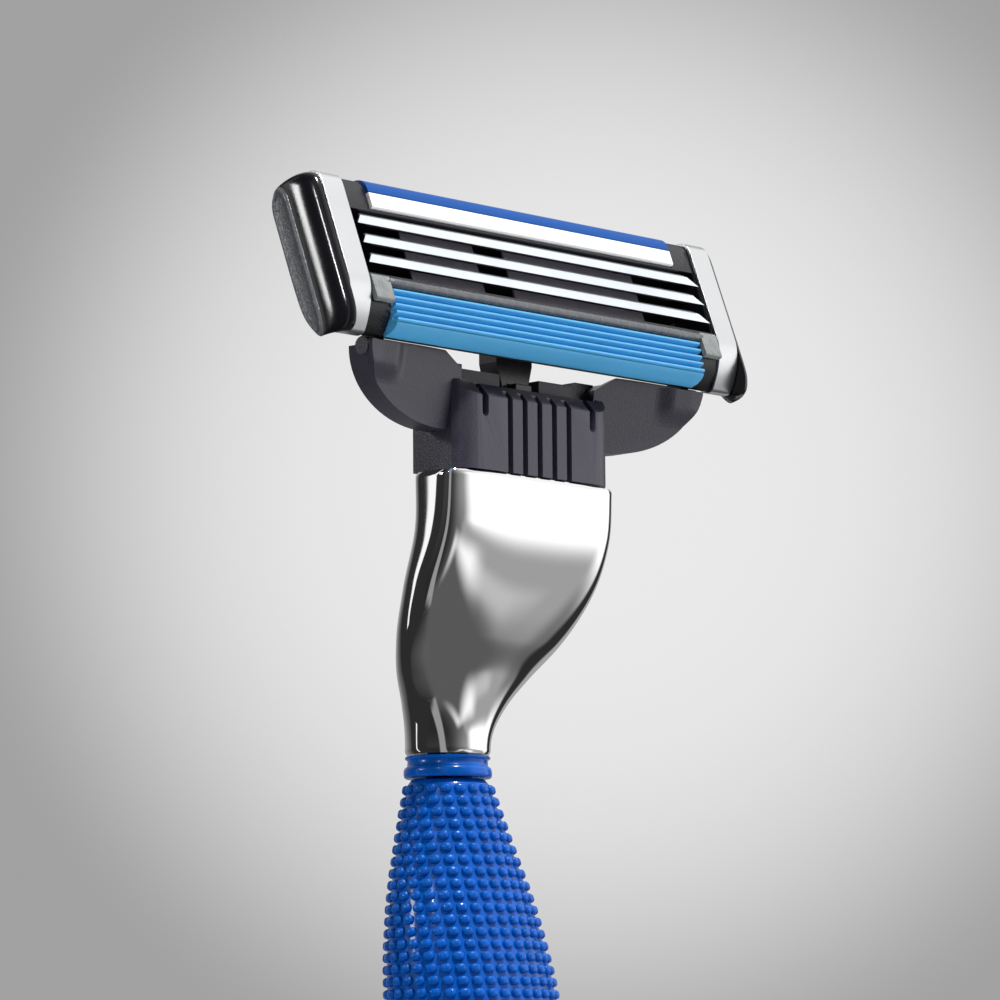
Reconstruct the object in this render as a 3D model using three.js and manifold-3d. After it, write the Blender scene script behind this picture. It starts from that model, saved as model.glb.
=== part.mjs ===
// A three-blade cartridge razor: pivoting cartridge, push-fit yoke, chrome neck and elastomer grip.
// Millimetres. +Z runs up the handle to the head, +X along the blades, -Y is the shaving side.
// The origin is the centre of the flat face at the lower end of the handle.
import * as THREE from "three";
import { mergeVertices } from "three/addons/utils/BufferGeometryUtils.js";
import Module from "manifold-3d";

const wasm = await Module();
wasm.setup();

// ---- driving dimensions -------------------------------------------------------------------

// Where the edge of the middle blade stands above and in front of the handle's end face.
const HEAD_HEIGHT = 143;
const HEAD_FORWARD = 9.6;

// Clearances between separate pieces.
const FIT = 0.06;
const SLIDE_FIT = 0.12;
const SEAT_GAP = 0.1;

// Cartridge, in its own frame: x along the blades, y into the cartridge, z up its face.
// Its origin is the edge of the middle blade.
const CARTRIDGE_LEAN = THREE.MathUtils.degToRad(20.9);
const CARTRIDGE_HALF = 20.4;
const CARTRIDGE_DEPTH = 4.1;
const FACE_RECESS = 0.3;
const CAP_WIDTH = 1.17;
const CLIP_WIDTH = 1.99;
const CLIP_THICK = 0.26;
const CLIP_INNER = CARTRIDGE_HALF - CAP_WIDTH - CLIP_WIDTH;

const BLADE_PITCH = 1.5;
const BLADE_COUNT = 3;
const BLADE_INSET = 0.32;
const BLADE_HALF = CLIP_INNER - BLADE_INSET;
const BLADE_RISE = 1.2;
const BLADE_DIP = 0.6;
const BLADE_THICK = 0.1;
const BLADE_SLANT_END = 1;
const SUPPORT_THICK = 0.24;
const SUPPORT_LIFT = 0.06;
const BLADE_TRAVEL = 0.2;
const WELL_DEPTH = 3.2;
const SUPPORT_DEPTH = WELL_DEPTH - BLADE_TRAVEL - 0.25;
const bladeEdge = (i) => (i - (BLADE_COUNT - 1) / 2) * BLADE_PITCH;
const WELL_LOW = bladeEdge(0) - 0.62;
const WELL_HIGH = bladeEdge(BLADE_COUNT - 1) + BLADE_RISE + SUPPORT_LIFT + FIT;
const WELL_HALF = BLADE_HALF + 0.2;

const STRIP_HALF = CLIP_INNER - 2.27;
const STRIP_RIM = 0.2;
const STRIP_LOW = WELL_HIGH + STRIP_RIM;
const STRIP_HEIGHT = 2.3;
const STRIP_HIGH = STRIP_LOW + STRIP_HEIGHT;
const STRIP_BAND = 1.14;
const STRIP_CHAMFER = 0.45;
const STRIP_THICK = 0.85;
const CARTRIDGE_TOP = STRIP_HIGH + 0.32;

const GUARD_BAR_HEIGHT = 0.71;
const GUARD_BAR_TOP = WELL_LOW - 0.23;
const COMB_HALF = CLIP_INNER - 2.04;
const COMB_TOP = GUARD_BAR_TOP - GUARD_BAR_HEIGHT;
const FIN_COUNT = 5;
const FIN_PITCH = 0.5;
const COMB_FOOT = COMB_TOP - FIN_COUNT * FIN_PITCH - 0.34;
const CARTRIDGE_FOOT = COMB_FOOT - 0.56;

// The line that the cartridge pivots on, just behind the comb's foot. The wings' crowns lie on it.
const PIVOT_DEPTH = 3.14;
const PIVOT_HEIGHT = COMB_FOOT - 0.18;
const CROWN_RADIUS = 0.65;
const GROOVE_GAP = 0.1;
const TRUNNION_RADIUS = 0.32;
const EAR_RADIUS = 0.62;
// The ear's square root swings this far from the pivot line inside the wing.
const EAR_SWEEP = EAR_RADIUS * 2.1;
const EAR_THICK = 0.65;
const EAR_OUTER = CLIP_INNER - 1.8;
const EAR_INNER = EAR_OUTER - EAR_THICK;

// Head coordinates (y, z) of a point at a depth and height in the cartridge.
const [PIVOT_Y, PIVOT_Z] = [
  PIVOT_HEIGHT * Math.sin(CARTRIDGE_LEAN) + PIVOT_DEPTH * Math.cos(CARTRIDGE_LEAN),
  PIVOT_HEIGHT * Math.cos(CARTRIDGE_LEAN) - PIVOT_DEPTH * Math.sin(CARTRIDGE_LEAN),
];

// Cam nose behind the cartridge, measured from the pivot line, and how far it drives the plunger.
const NOSE_Y = 2.7;
const NOSE_Z = 2.2;
const NOSE_RADIUS = 0.5;
const NOSE_HALF = 1.4;
const PLUNGER_TRAVEL = 2.4;

// Yoke, placed from the pivot line.
const YOKE_FOOT = PIVOT_Z - 7.24;
const YOKE_FRONT = PIVOT_Y - 0.57;
const YOKE_DEPTH = 4.86;
const YOKE_REAR = YOKE_FRONT + YOKE_DEPTH;
const YOKE_HALF = 7.45;
const YOKE_FLAT_HALF = YOKE_HALF - 1.95;
const YOKE_CORNER_DEPTH = 1.16;
const FRONT_TOP = PIVOT_Z - 1.21;
const RIM_TOP = PIVOT_Z + 0.17;
const RIM_STEP = 0.3;
const RIM_STEP_HALF = YOKE_FLAT_HALF + 0.1;
const CEILING = PIVOT_Z - 1.51;
const YOKE_WALL = 0.95;
const YOKE_REAR_WALL = 0.6;
const YOKE_CHEEK = 0.75;
const YOKE_SOCKET_FRONT = YOKE_FRONT + YOKE_WALL;
const YOKE_SOCKET_BACK = YOKE_REAR - YOKE_REAR_WALL;
const SOCKET_HALF = YOKE_HALF - 2.25;
const GRIP_GROOVES = 5;
const GRIP_GROOVE_PITCH = 1.45;
const GRIP_GROOVE_WIDTH = 0.5;
const GRIP_GROOVE_DEPTH = 0.6;
const LATCH_SLOT_X = YOKE_FLAT_HALF - 0.2;
const LATCH_SLOT_WIDTH = 0.6;
const LATCH_SLOT_LENGTH = 2.4;
const LATCH_SLOT_FOOT = FRONT_TOP - LATCH_SLOT_LENGTH;

const WING_TIP = CLIP_INNER - 0.83;
const WING_CENTRE_X = YOKE_HALF + 0.88;
const WING_CENTRE_Z = PIVOT_Z + 0.55;
const WING_REACH = WING_TIP + 0.02 - WING_CENTRE_X;
const WING_DROP = 5.14;
const WING_THICK = 1.76;
const WING_SET_BACK = PIVOT_Y - 0.19;
const WING_SWEEP = -0.085;
const WING_LEAN = -0.16;
const WING_NOTCH = 1.95;

// Plunger: a tongue under the nose, on a square stem.
const PLUNGER_HEAD_HALF = 1.75;
const PLUNGER_NECK_HALF = 1.2;
const PLUNGER_HEAD_HEIGHT = 2.9;
const PLUNGER_FRONT = PIVOT_Y + 1.79;
const PLUNGER_BACK = YOKE_SOCKET_BACK - SLIDE_FIT;
const PLUNGER_TOP = PIVOT_Z + NOSE_Z - NOSE_RADIUS - 0.05;
const HEAD_LOW = PLUNGER_TOP - PLUNGER_HEAD_HEIGHT;
const STEM_HALF = 0.8;
const STEM_ROOM = STEM_HALF + SLIDE_FIT;
const STEM_Y = PIVOT_Y + 1.74;
const STEM_HEIGHT = 5;
const STEM_FOOT = HEAD_LOW - STEM_HEIGHT;
const WIRE_RADIUS = 0.15;
const SPRING_RADIUS = STEM_HALF - 0.22;

// Docking chassis, and the ejector that slides behind it with the button.
const BUTTON_TRAVEL = 2.5;
const EJECTOR_THICK = 0.45;
const EJECTOR_BACK = YOKE_SOCKET_BACK - 0.16;
const EJECTOR_FRONT = EJECTOR_BACK - EJECTOR_THICK;
const EJECTOR_HALF = SOCKET_HALF - 0.8;
const EJECTOR_GAP_HALF = PLUNGER_HEAD_HALF + 0.65;
const EJECTOR_TOP = CEILING - BUTTON_TRAVEL - 0.25;
const CHASSIS_TOP = HEAD_LOW - PLUNGER_TRAVEL - SLIDE_FIT;
const CHASSIS_FOOT = STEM_FOOT - 5.6;
const CHASSIS_FRONT = YOKE_SOCKET_FRONT + 0.16;
const CHASSIS_BACK = EJECTOR_FRONT - SLIDE_FIT;
const SPRING_FOOT = CHASSIS_FOOT + 0.5;
const FOOT_X = SOCKET_HALF - 2;
const FOOT_HALF = 0.85;
const FOOT_TOP = CHASSIS_FOOT - 0.3;
const BUTTON_SPRING_LENGTH = 4.3;
const BUTTON_SPRING_TOP = FOOT_TOP + BUTTON_SPRING_LENGTH;
const BUTTON_STEM_HEIGHT = 1.6;
const BUTTON_STEM_HALF = 1.4;
const EJECTOR_FOOT = FOOT_TOP - BUTTON_STEM_HEIGHT;
const BUTTON_HALF = 3.6;
const BUTTON_TOP = FOOT_TOP + 0.5;
const BUTTON_FOOT = BUTTON_TOP - 6.8;
const BUTTON_RISE = 1.25;
const BUTTON_RIBS = 4;
const BUTTON_RIB_PITCH = 1.1;

// Handle, by depth below the middle blade.
const NECK_TOP = YOKE_FOOT - SEAT_GAP;
const NECK_FOOT = -32.6;
const NECK_SPACING = 1.2;
const GRIP_SPACING = 3.4;
const COLLAR_HEIGHT = 1.5;
const COLLAR_TOP = NECK_FOOT - SEAT_GAP;
const COLLAR_FOOT = COLLAR_TOP - COLLAR_HEIGHT;
const SLEEVE_TOP = COLLAR_FOOT - SEAT_GAP;
const SLEEVE_THICK = 1.5;
const END_CAP_HEIGHT = 2;
const TAIL_FOOT = END_CAP_HEIGHT - HEAD_HEIGHT;
const TAIL_LENGTH = 42;
const GRIP_FOOT = TAIL_FOOT + TAIL_LENGTH;
const TAIL_TOP = GRIP_FOOT - SEAT_GAP;
const TANG_LENGTH = 5;
const WEIGHT_RADIUS = 2;
const WEIGHT_LENGTH = 24;
const WEIGHT_Y = HEAD_FORWARD - 1;
const WEIGHT_TOP = TAIL_FOOT + WEIGHT_LENGTH;

// Stations of the handle's outline: depth, centre y, half width, half depth, squareness.
const NECK_STATIONS = [
  [14.0, 2.6, YOKE_HALF + 0.8, YOKE_DEPTH / 2, 5],
  [18.0, 2.85, YOKE_HALF + 0.85, 2.5, 4],
  [22.0, 4.47, YOKE_HALF + 0.7, 2.8, 2.8],
  [25.0, 6.3, 7.15, 2.92, 2.3],
  [27.2, 7.8, 5.75, 2.88, 2.05],
  [29.2, 8.7, 4.25, 2.85, 2],
  [31.3, 9.25, 3.2, 2.85, 2],
  [33.0, 9.35, 3.02, 2.95, 2],
  [38.0, 8.9, 4.3, 3.75, 2],
  [42.0, 8.3, 5.5, 4.35, 2.1],
  [47.0, 7.5, 6.4, 4.95, 2.2],
];
const fromEnd = (rise) => HEAD_HEIGHT - rise;
const HANDLE_STATIONS = [
  [fromEnd(85), 6.1, 6.6, 5.4, 2.2],
  [fromEnd(68), 5.2, 6.1, 5.3, 2.2],
  [fromEnd(44), 5.9, 5.3, 4.7, 2.2],
  [fromEnd(21), 7.6, 5.4, 4.5, 2.2],
  [fromEnd(6), 9.1, 5.5, 4.2, 2.2],
  [fromEnd(0), HEAD_FORWARD, 4.6, 3.4, 2.2],
];
const STATIONS = [...NECK_STATIONS, ...HANDLE_STATIONS];

// ---- finishes -----------------------------------------------------------------------------

const finish = (color, roughness, metalness) =>
  new THREE.MeshStandardMaterial({ color, roughness, metalness });
const DARK_PLASTIC = () => finish(0x4a4852, 0.55, 0);
const BLACK_PLASTIC = () => finish(0x1c1b20, 0.3, 0);
const BLADE_STEEL = () => finish(0xd2dde4, 0.25, 1);
const SUPPORT_STEEL = () => finish(0x6b6874, 0.4, 1);
const SATIN_ALUMINIUM = () => finish(0xd8dadd, 0.35, 1);
const CHROME = () => finish(0xe2e2e4, 0.06, 1);
const SPRING_STEEL = () => finish(0x9a9da2, 0.3, 1);
const COMB_BLUE = () => finish(0x5fb4e4, 0.4, 0);
const STRIP_WHITE = () => finish(0xf4f5f4, 0.5, 0);
const STRIP_BLUE = () => finish(0x0a63c4, 0.45, 0);
const GRIP_BLUE = () => finish(0x0b5cc0, 0.3, 0);

// ---- solids -------------------------------------------------------------------------------

// A closed geometry as a solid that can be joined and cut.
function solidOf(geometry) {
  const g = geometry.index ? geometry.toNonIndexed() : geometry.clone();
  g.deleteAttribute("normal");
  g.deleteAttribute("uv");
  const merged = mergeVertices(g, 1e-4);
  const source = merged.index.array;
  const kept = [];
  for (let i = 0; i < source.length; i += 3) {
    const [a, b, c] = source.subarray(i, i + 3);
    if (a !== b && b !== c && c !== a) kept.push(a, b, c);
  }
  return new wasm.Manifold(
    new wasm.Mesh({
      numProp: 3,
      vertProperties: merged.attributes.position.array,
      triVerts: new Uint32Array(kept),
    }),
  );
}

// A solid as a named mesh with its own finish.
function piece(name, solid, material) {
  const mesh = solid.getMesh();
  const count = mesh.numProp;
  const points = new Float32Array(mesh.numVert * 3);
  for (let i = 0; i < mesh.numVert; i++) {
    points.set(mesh.vertProperties.subarray(i * count, i * count + 3), i * 3);
  }
  const geometry = new THREE.BufferGeometry();
  geometry.setAttribute("position", new THREE.BufferAttribute(points, 3));
  geometry.setIndex(new THREE.BufferAttribute(mesh.triVerts, 1));
  geometry.computeVertexNormals();
  const made = new THREE.Mesh(geometry, material);
  made.name = name;
  return made;
}

const joined = (first, ...rest) => rest.reduce((sum, next) => sum.add(next), first);
const cut = (first, ...rest) => rest.reduce((left, next) => left.subtract(next), first);

// A block between two corners.
function block([x0, x1], [y0, y1], [z0, z1]) {
  const g = new THREE.BoxGeometry(x1 - x0, y1 - y0, z1 - z0);
  g.translate((x0 + x1) / 2, (y0 + y1) / 2, (z0 + z1) / 2);
  return solidOf(g);
}

// A round bar along X between x0 and x1.
function barAlongX([x0, x1], y, z, radius, sides = 20) {
  const g = new THREE.CylinderGeometry(radius, radius, x1 - x0, sides);
  g.rotateZ(Math.PI / 2);
  g.translate((x0 + x1) / 2, y, z);
  return solidOf(g);
}

// A round bar standing between z0 and z1.
function barAlongZ(x, y, [z0, z1], radius, sides = 24) {
  const g = new THREE.CylinderGeometry(radius, radius, z1 - z0, sides);
  g.rotateX(Math.PI / 2);
  g.translate(x, y, (z0 + z1) / 2);
  return solidOf(g);
}

// A side outline of (y, z) points carried along X.
function runAlongX(outline, [x0, x1]) {
  const shape = new THREE.Shape(outline.map(([y, z]) => new THREE.Vector2(y, z)));
  const g = new THREE.ExtrudeGeometry(shape, { depth: x1 - x0, bevelEnabled: false, curveSegments: 8 });
  g.applyMatrix4(new THREE.Matrix4().set(0, 0, 1, x0, 1, 0, 0, 0, 0, 1, 0, 0, 0, 0, 0, 1));
  return solidOf(g);
}

// A plan outline, a Shape in (x, y), standing between z0 and z1.
function stand(shape, [z0, z1]) {
  const g = new THREE.ExtrudeGeometry(shape, { depth: z1 - z0, bevelEnabled: false, curveSegments: 6 });
  g.translate(0, 0, z0);
  return solidOf(g);
}

// A front outline, a Shape in (x, z), with its front face at y0 and its back at y1.
function plate(shape, [y0, y1], curveSegments = 14) {
  const g = new THREE.ExtrudeGeometry(shape, { depth: y1 - y0, bevelEnabled: false, curveSegments });
  g.applyMatrix4(new THREE.Matrix4().set(1, 0, 0, 0, 0, 0, -1, y1, 0, 1, 0, 0, 0, 0, 0, 1));
  return g;
}

// The same solid mirrored across the middle of the razor.
function mirrored(solid) {
  return solid.mirror([1, 0, 0]);
}

// A closed solid through a list of rings, each a list of Vector3 with the same count.
function loft(rings) {
  const sides = rings[0].length;
  const points = rings.flat();
  const index = [];
  for (let r = 0; r + 1 < rings.length; r++) {
    for (let i = 0; i < sides; i++) {
      const a = r * sides + i;
      const b = r * sides + ((i + 1) % sides);
      index.push(a, b, a + sides, b, b + sides, a + sides);
    }
  }
  const last = (rings.length - 1) * sides;
  for (let i = 1; i + 1 < sides; i++) {
    index.push(0, i + 1, i, last, last + i, last + i + 1);
  }
  const g = new THREE.BufferGeometry().setFromPoints(points);
  g.setIndex(index);
  return solidOf(g);
}

// A coil spring standing on z0, as a round wire run along a helix.
function coil(x, y, [z0, z1], radius, wire, turns) {
  class Helix extends THREE.Curve {
    getPoint(t, target = new THREE.Vector3()) {
      const angle = 2 * Math.PI * turns * t;
      const z = z0 + wire + (z1 - z0 - 2 * wire) * t;
      return target.set(x + radius * Math.cos(angle), y + radius * Math.sin(angle), z);
    }
  }
  const section = new THREE.Shape();
  section.absarc(0, 0, wire, 0, 2 * Math.PI);
  const options = { steps: turns * 10, curveSegments: 3, bevelEnabled: false, extrudePath: new Helix() };
  return solidOf(new THREE.ExtrudeGeometry(section, options));
}

// ---- handle outline -----------------------------------------------------------------------

const stationDepths = new Float32Array(STATIONS.map((s) => s[0]));
const stationValues = new Float32Array(STATIONS.flatMap((s) => s.slice(1)));
const stationCurve = new THREE.CubicInterpolant(stationDepths, stationValues, 4);

// The ring of the handle's outline at height z, grown by `offset` all round.
function handleRing(z, offset = 0, sides = 28) {
  const [centre, halfWidth, halfDepth, squareness] = stationCurve.evaluate(-z);
  const power = 2 / squareness;
  const ring = [];
  for (let i = 0; i < sides; i++) {
    const angle = (2 * Math.PI * (i + 0.5)) / sides;
    const c = Math.cos(angle);
    const s = Math.sin(angle);
    const x = (halfWidth + offset) * Math.sign(c) * Math.abs(c) ** power;
    const y = centre + (halfDepth + offset) * Math.sign(s) * Math.abs(s) ** power;
    ring.push(new THREE.Vector3(x, y, z));
  }
  return ring;
}

// The handle's outline as a solid from zLow up to zHigh. Its rings stand at whole multiples of
// the spacing, so that a piece and the bore it fits in have the same facets.
function handleLength([zLow, zHigh], spacing, offset = 0, sides = 28) {
  const heights = [zLow];
  for (let i = Math.ceil((zLow + 0.2) / spacing); i * spacing < zHigh - 0.2; i++) heights.push(i * spacing);
  heights.push(zHigh);
  return loft(heights.map((z) => handleRing(z, offset, sides)));
}

const handleCentre = (z) => stationCurve.evaluate(-z)[0];

// ---- cartridge ----------------------------------------------------------------------------

// From head coordinates (y, z) to the leaning cartridge's own (depth, height).
function inCartridge(y, z) {
  const c = Math.cos(CARTRIDGE_LEAN);
  const s = Math.sin(CARTRIDGE_LEAN);
  return [y * c - z * s, y * s + z * c];
}

const [NOSE_DEPTH, NOSE_HEIGHT] = inCartridge(PIVOT_Y + NOSE_Y, PIVOT_Z + NOSE_Z);

// The housing's side outline under the clips, which bear on its front, top and foot.
const bodyOutline = [
  [FACE_RECESS, COMB_TOP + 0.06],
  [FACE_RECESS, CARTRIDGE_TOP - 0.89],
  [0.55, CARTRIDGE_TOP - 0.44],
  [1.1, CARTRIDGE_TOP - CLIP_THICK],
  [1.9, CARTRIDGE_TOP - CLIP_THICK],
  [2.5, CARTRIDGE_TOP - CLIP_THICK - 0.04],
  [CARTRIDGE_DEPTH - CLIP_THICK, CARTRIDGE_TOP - 1.14],
  [CARTRIDGE_DEPTH - CLIP_THICK, COMB_TOP + 1.76],
  [CARTRIDGE_DEPTH - 0.4, COMB_FOOT + 2.28],
  [3.3, COMB_FOOT + 1.1],
  [2.35, COMB_FOOT + 0.1],
  [2.1, COMB_FOOT + 0.15],
  [1.05, COMB_FOOT + 1],
  [0.5, COMB_FOOT + 2],
];

// The end caps stand proud of the clips' seats and are rounder at the foot.
const capOutline = [
  [0.12, COMB_TOP + 0.06],
  [0.12, CARTRIDGE_TOP - 1.04],
  [0.45, CARTRIDGE_TOP - 0.44],
  [1.1, CARTRIDGE_TOP - 0.05],
  [1.8, CARTRIDGE_TOP],
  [2.5, CARTRIDGE_TOP - 0.06],
  [CARTRIDGE_DEPTH, CARTRIDGE_TOP - 0.98],
  [CARTRIDGE_DEPTH, COMB_TOP + 1.76],
  [CARTRIDGE_DEPTH - 0.16, COMB_FOOT + 2.28],
  [3.41, COMB_FOOT + 1.08],
  [2.05, COMB_FOOT - 0.18],
  [1.2, CARTRIDGE_FOOT],
  [0.5, CARTRIDGE_FOOT + 0.3],
  [0.16, COMB_FOOT + 0.5],
];

// The comb's outline: fins down its front, a rounded foot and a flat back.
function combOutline(grow = 0) {
  const points = [[1.15 + grow, COMB_TOP + grow]];
  points.push([0.5 - grow, COMB_TOP + grow]);
  for (let i = 0; i < FIN_COUNT; i++) {
    const tip = COMB_TOP - 0.08 - i * FIN_PITCH;
    const front = 0.14 + 0.075 * i;
    if (grow > 0) {
      points.push([front - 0.5, tip]);
      continue;
    }
    points.push([front, tip]);
    points.push([front + 0.05, tip - 0.14]);
    points.push([front + 0.42, tip - FIN_PITCH / 2 - 0.02]);
  }
  points.push([0.5 - grow, COMB_FOOT + 0.5]);
  points.push([0.9 - grow, COMB_FOOT + 0.18 - grow]);
  points.push([1.5, COMB_FOOT - grow]);
  points.push([2.12 + grow, COMB_FOOT + 0.04 - grow]);
  points.push([2.12 + grow, COMB_FOOT + 0.5]);
  points.push([1.15 + grow, COMB_FOOT + 1.2]);
  return points;
}

// A blade's cross-section: a thin strip from its edge, dipping into the cartridge as it rises.
function bladeStrip(edge, gap) {
  const length = Math.hypot(BLADE_RISE, BLADE_DIP);
  const ny = (BLADE_RISE / length) * BLADE_THICK;
  const nz = (-BLADE_DIP / length) * BLADE_THICK;
  const y = gap * (BLADE_RISE / length);
  const z = edge - gap * (BLADE_DIP / length);
  return [
    [y, z],
    [y + BLADE_DIP, z + BLADE_RISE],
    [y + BLADE_DIP + ny, z + BLADE_RISE + nz],
    [y + ny + 0.08, z + nz + 0.16],
  ];
}

// A blade: the strip with its ends cut on a slant, wider at the edge than at the back.
function bladeSolid(edge) {
  const shape = new THREE.Shape();
  shape.moveTo(-BLADE_HALF, edge - 0.1);
  shape.lineTo(BLADE_HALF, edge - 0.1);
  shape.lineTo(BLADE_HALF - BLADE_SLANT_END, edge + BLADE_RISE + 0.1);
  shape.lineTo(BLADE_SLANT_END - BLADE_HALF, edge + BLADE_RISE + 0.1);
  const front = solidOf(plate(shape, [-1, 2]));
  return runAlongX(bladeStrip(edge, 0), [-BLADE_HALF, BLADE_HALF]).intersect(front);
}

// The bent support under a blade: a slanted seat and a leg that runs into the cartridge.
function supportSolid(edge) {
  const half = BLADE_HALF - BLADE_SLANT_END - 0.3;
  const y0 = BLADE_THICK + FIT;
  const legTop = edge + BLADE_RISE + SUPPORT_LIFT;
  const seat = [
    [y0 + 0.22, edge + 0.34],
    [y0 + BLADE_DIP + 0.02, legTop],
    [SUPPORT_DEPTH, legTop],
    [SUPPORT_DEPTH, legTop - SUPPORT_THICK],
    [y0 + BLADE_DIP + 0.2, legTop - SUPPORT_THICK],
    [y0 + 0.22 + SUPPORT_THICK, edge + 0.3],
  ];
  return runAlongX(seat, [-half, half]);
}

const CAP_INNER = CLIP_INNER + CLIP_WIDTH + FIT;

// The housing: body, end caps, blade well, strip seat, comb pocket, ears, groove and cam nose.
function housingSolid() {
  const seam = 0.02;
  const body = runAlongX(bodyOutline, [-CAP_INNER - seam, CAP_INNER + seam]);
  const capBase = runAlongX(capOutline, [CAP_INNER, CARTRIDGE_HALF]);
  const capSlope = new THREE.Shape();
  capSlope.moveTo(CAP_INNER - 1, -2);
  capSlope.lineTo(CARTRIDGE_HALF + 1, -2);
  capSlope.lineTo(CARTRIDGE_HALF + 1, 2.2);
  capSlope.lineTo(CARTRIDGE_HALF, 1.3);
  capSlope.lineTo(CARTRIDGE_HALF - 0.35, 0.55);
  capSlope.lineTo(CAP_INNER + 0.25, 0);
  capSlope.lineTo(CAP_INNER - 1, 0);
  const cap = cut(capBase, stand(capSlope, [CARTRIDGE_FOOT - 1, CARTRIDGE_TOP + 1]));
  const well = block([-WELL_HALF, WELL_HALF], [-1, WELL_DEPTH], [WELL_LOW, WELL_HIGH]);
  const stripSpan = [-STRIP_HALF - FIT, STRIP_HALF + FIT];
  const stripSeat = joined(
    block(stripSpan, [-1, FACE_RECESS + STRIP_THICK], [STRIP_LOW - FIT, STRIP_HIGH + FIT]),
    block(stripSpan, [-1, FACE_RECESS + STRIP_THICK - STRIP_CHAMFER], [STRIP_HIGH, CARTRIDGE_TOP + 1]),
  );
  const comb = runAlongX(combOutline(FIT), [-COMB_HALF - FIT, COMB_HALF + FIT]);
  const bar = runAlongX(
    [
      [0.14, GUARD_BAR_TOP - 0.12],
      [0.14, COMB_TOP + 0.2],
      [0.4, COMB_TOP + FIT],
      [1.2, COMB_TOP + FIT],
      [1.2, GUARD_BAR_TOP],
      [0.3, GUARD_BAR_TOP],
    ].reverse(),
    [-COMB_HALF - 0.6, COMB_HALF + 0.6],
  );
  const nose = joined(
    barAlongX([-NOSE_HALF, NOSE_HALF], NOSE_DEPTH, NOSE_HEIGHT, NOSE_RADIUS, 16),
    block(
      [-NOSE_HALF, NOSE_HALF],
      [CARTRIDGE_DEPTH - 0.9, NOSE_DEPTH],
      [NOSE_HEIGHT - NOSE_RADIUS, NOSE_HEIGHT + NOSE_RADIUS],
    ),
  );
  const earSpan = [EAR_INNER, EAR_INNER + EAR_THICK];
  const ear = joined(
    barAlongX(earSpan, PIVOT_DEPTH, PIVOT_HEIGHT, EAR_RADIUS, 24),
    block(earSpan, [PIVOT_DEPTH - EAR_RADIUS, PIVOT_DEPTH + EAR_RADIUS], [PIVOT_HEIGHT, COMB_FOOT + 1.3]),
  );
  const crownSpan = [YOKE_HALF - 1.2, WING_TIP + SLIDE_FIT];
  const crown = barAlongX(crownSpan, PIVOT_DEPTH, PIVOT_HEIGHT, CROWN_RADIUS + GROOVE_GAP, 28);
  const boreSpan = [EAR_INNER - 1, EAR_OUTER + 1];
  const earBore = barAlongX(boreSpan, PIVOT_DEPTH, PIVOT_HEIGHT, TRUNNION_RADIUS + GROOVE_GAP, 20);
  const caps = joined(cap, mirrored(cap));
  const grooves = joined(crown, mirrored(crown));
  const shell = cut(joined(body, caps, nose), well, stripSeat, comb).add(bar).subtract(grooves);
  return cut(joined(shell, ear, mirrored(ear)), earBore, mirrored(earBore));
}

// A clip: a band bent round the housing, open at the back.
function clipSolid() {
  const outer = [
    [0, COMB_TOP + 0.26],
    [0, CARTRIDGE_TOP - 0.89],
    [0.28, CARTRIDGE_TOP - 0.34],
    [0.95, CARTRIDGE_TOP],
    [2.0, CARTRIDGE_TOP],
    [2.65, CARTRIDGE_TOP - 0.12],
    [CARTRIDGE_DEPTH - 0.02, CARTRIDGE_TOP - 0.86],
    [CARTRIDGE_DEPTH - 0.02, COMB_FOOT + 1.8],
    [2.6, COMB_FOOT - 0.05],
    [1.9, COMB_FOOT - 0.15],
    [1.48, COMB_FOOT + 0.3],
    [0.87, COMB_FOOT + 1.05],
    [0.4, COMB_FOOT + 1.9],
  ];
  const inner = bodyOutline.map(([y, z]) => {
    const dy = y < 1.6 ? -FIT / 2 : FIT / 2;
    const dz = z > 0 ? FIT / 2 : -FIT / 2;
    return [y + dy, z + dz];
  });
  const band = [CLIP_INNER, CLIP_INNER + CLIP_WIDTH];
  const solid = runAlongX(outer, band);
  const core = runAlongX(inner, [CLIP_INNER - 1, CLIP_INNER + CLIP_WIDTH + 1]);
  const reach = [CLIP_INNER - 1, CLIP_INNER + CLIP_WIDTH + 1];
  const back = block(reach, [2.9, CARTRIDGE_DEPTH + 1], [COMB_FOOT + 1.5, CARTRIDGE_TOP - 1.74]);
  return cut(solid, core, back);
}

const cartridge = new THREE.Group();
cartridge.rotation.x = -CARTRIDGE_LEAN;
cartridge.add(piece("cartridge_housing", housingSolid(), DARK_PLASTIC()));
cartridge.add(piece("comb_guard", runAlongX(combOutline(), [-COMB_HALF, COMB_HALF]), COMB_BLUE()));

const STRIP_SPLIT = STRIP_HIGH - STRIP_BAND;
const stripBack = FACE_RECESS + STRIP_THICK - FIT;
const whiteStrip = block([-STRIP_HALF, STRIP_HALF], [0.06, stripBack], [STRIP_LOW, STRIP_SPLIT - FIT]);
const bandOutline = [
  [stripBack, STRIP_SPLIT],
  [stripBack, STRIP_HIGH],
  [0.1 + STRIP_CHAMFER, STRIP_HIGH],
  [0.1, STRIP_HIGH - STRIP_CHAMFER],
  [0.1, STRIP_SPLIT],
];
const blueStrip = runAlongX(bandOutline, [-STRIP_HALF, STRIP_HALF]);
cartridge.add(piece("lube_strip", whiteStrip, STRIP_WHITE()));
cartridge.add(piece("lube_band", blueStrip, STRIP_BLUE()));
const clip = clipSolid();
cartridge.add(piece("clip_right", clip, SATIN_ALUMINIUM()));
cartridge.add(piece("clip_left", mirrored(clip), SATIN_ALUMINIUM()));
for (let i = 0; i < BLADE_COUNT; i++) {
  cartridge.add(piece(`blade_${i + 1}`, bladeSolid(bladeEdge(i)), BLADE_STEEL()));
  cartridge.add(piece(`blade_support_${i + 1}`, supportSolid(bladeEdge(i)), SUPPORT_STEEL()));
}

// ---- yoke ---------------------------------------------------------------------------------

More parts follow.
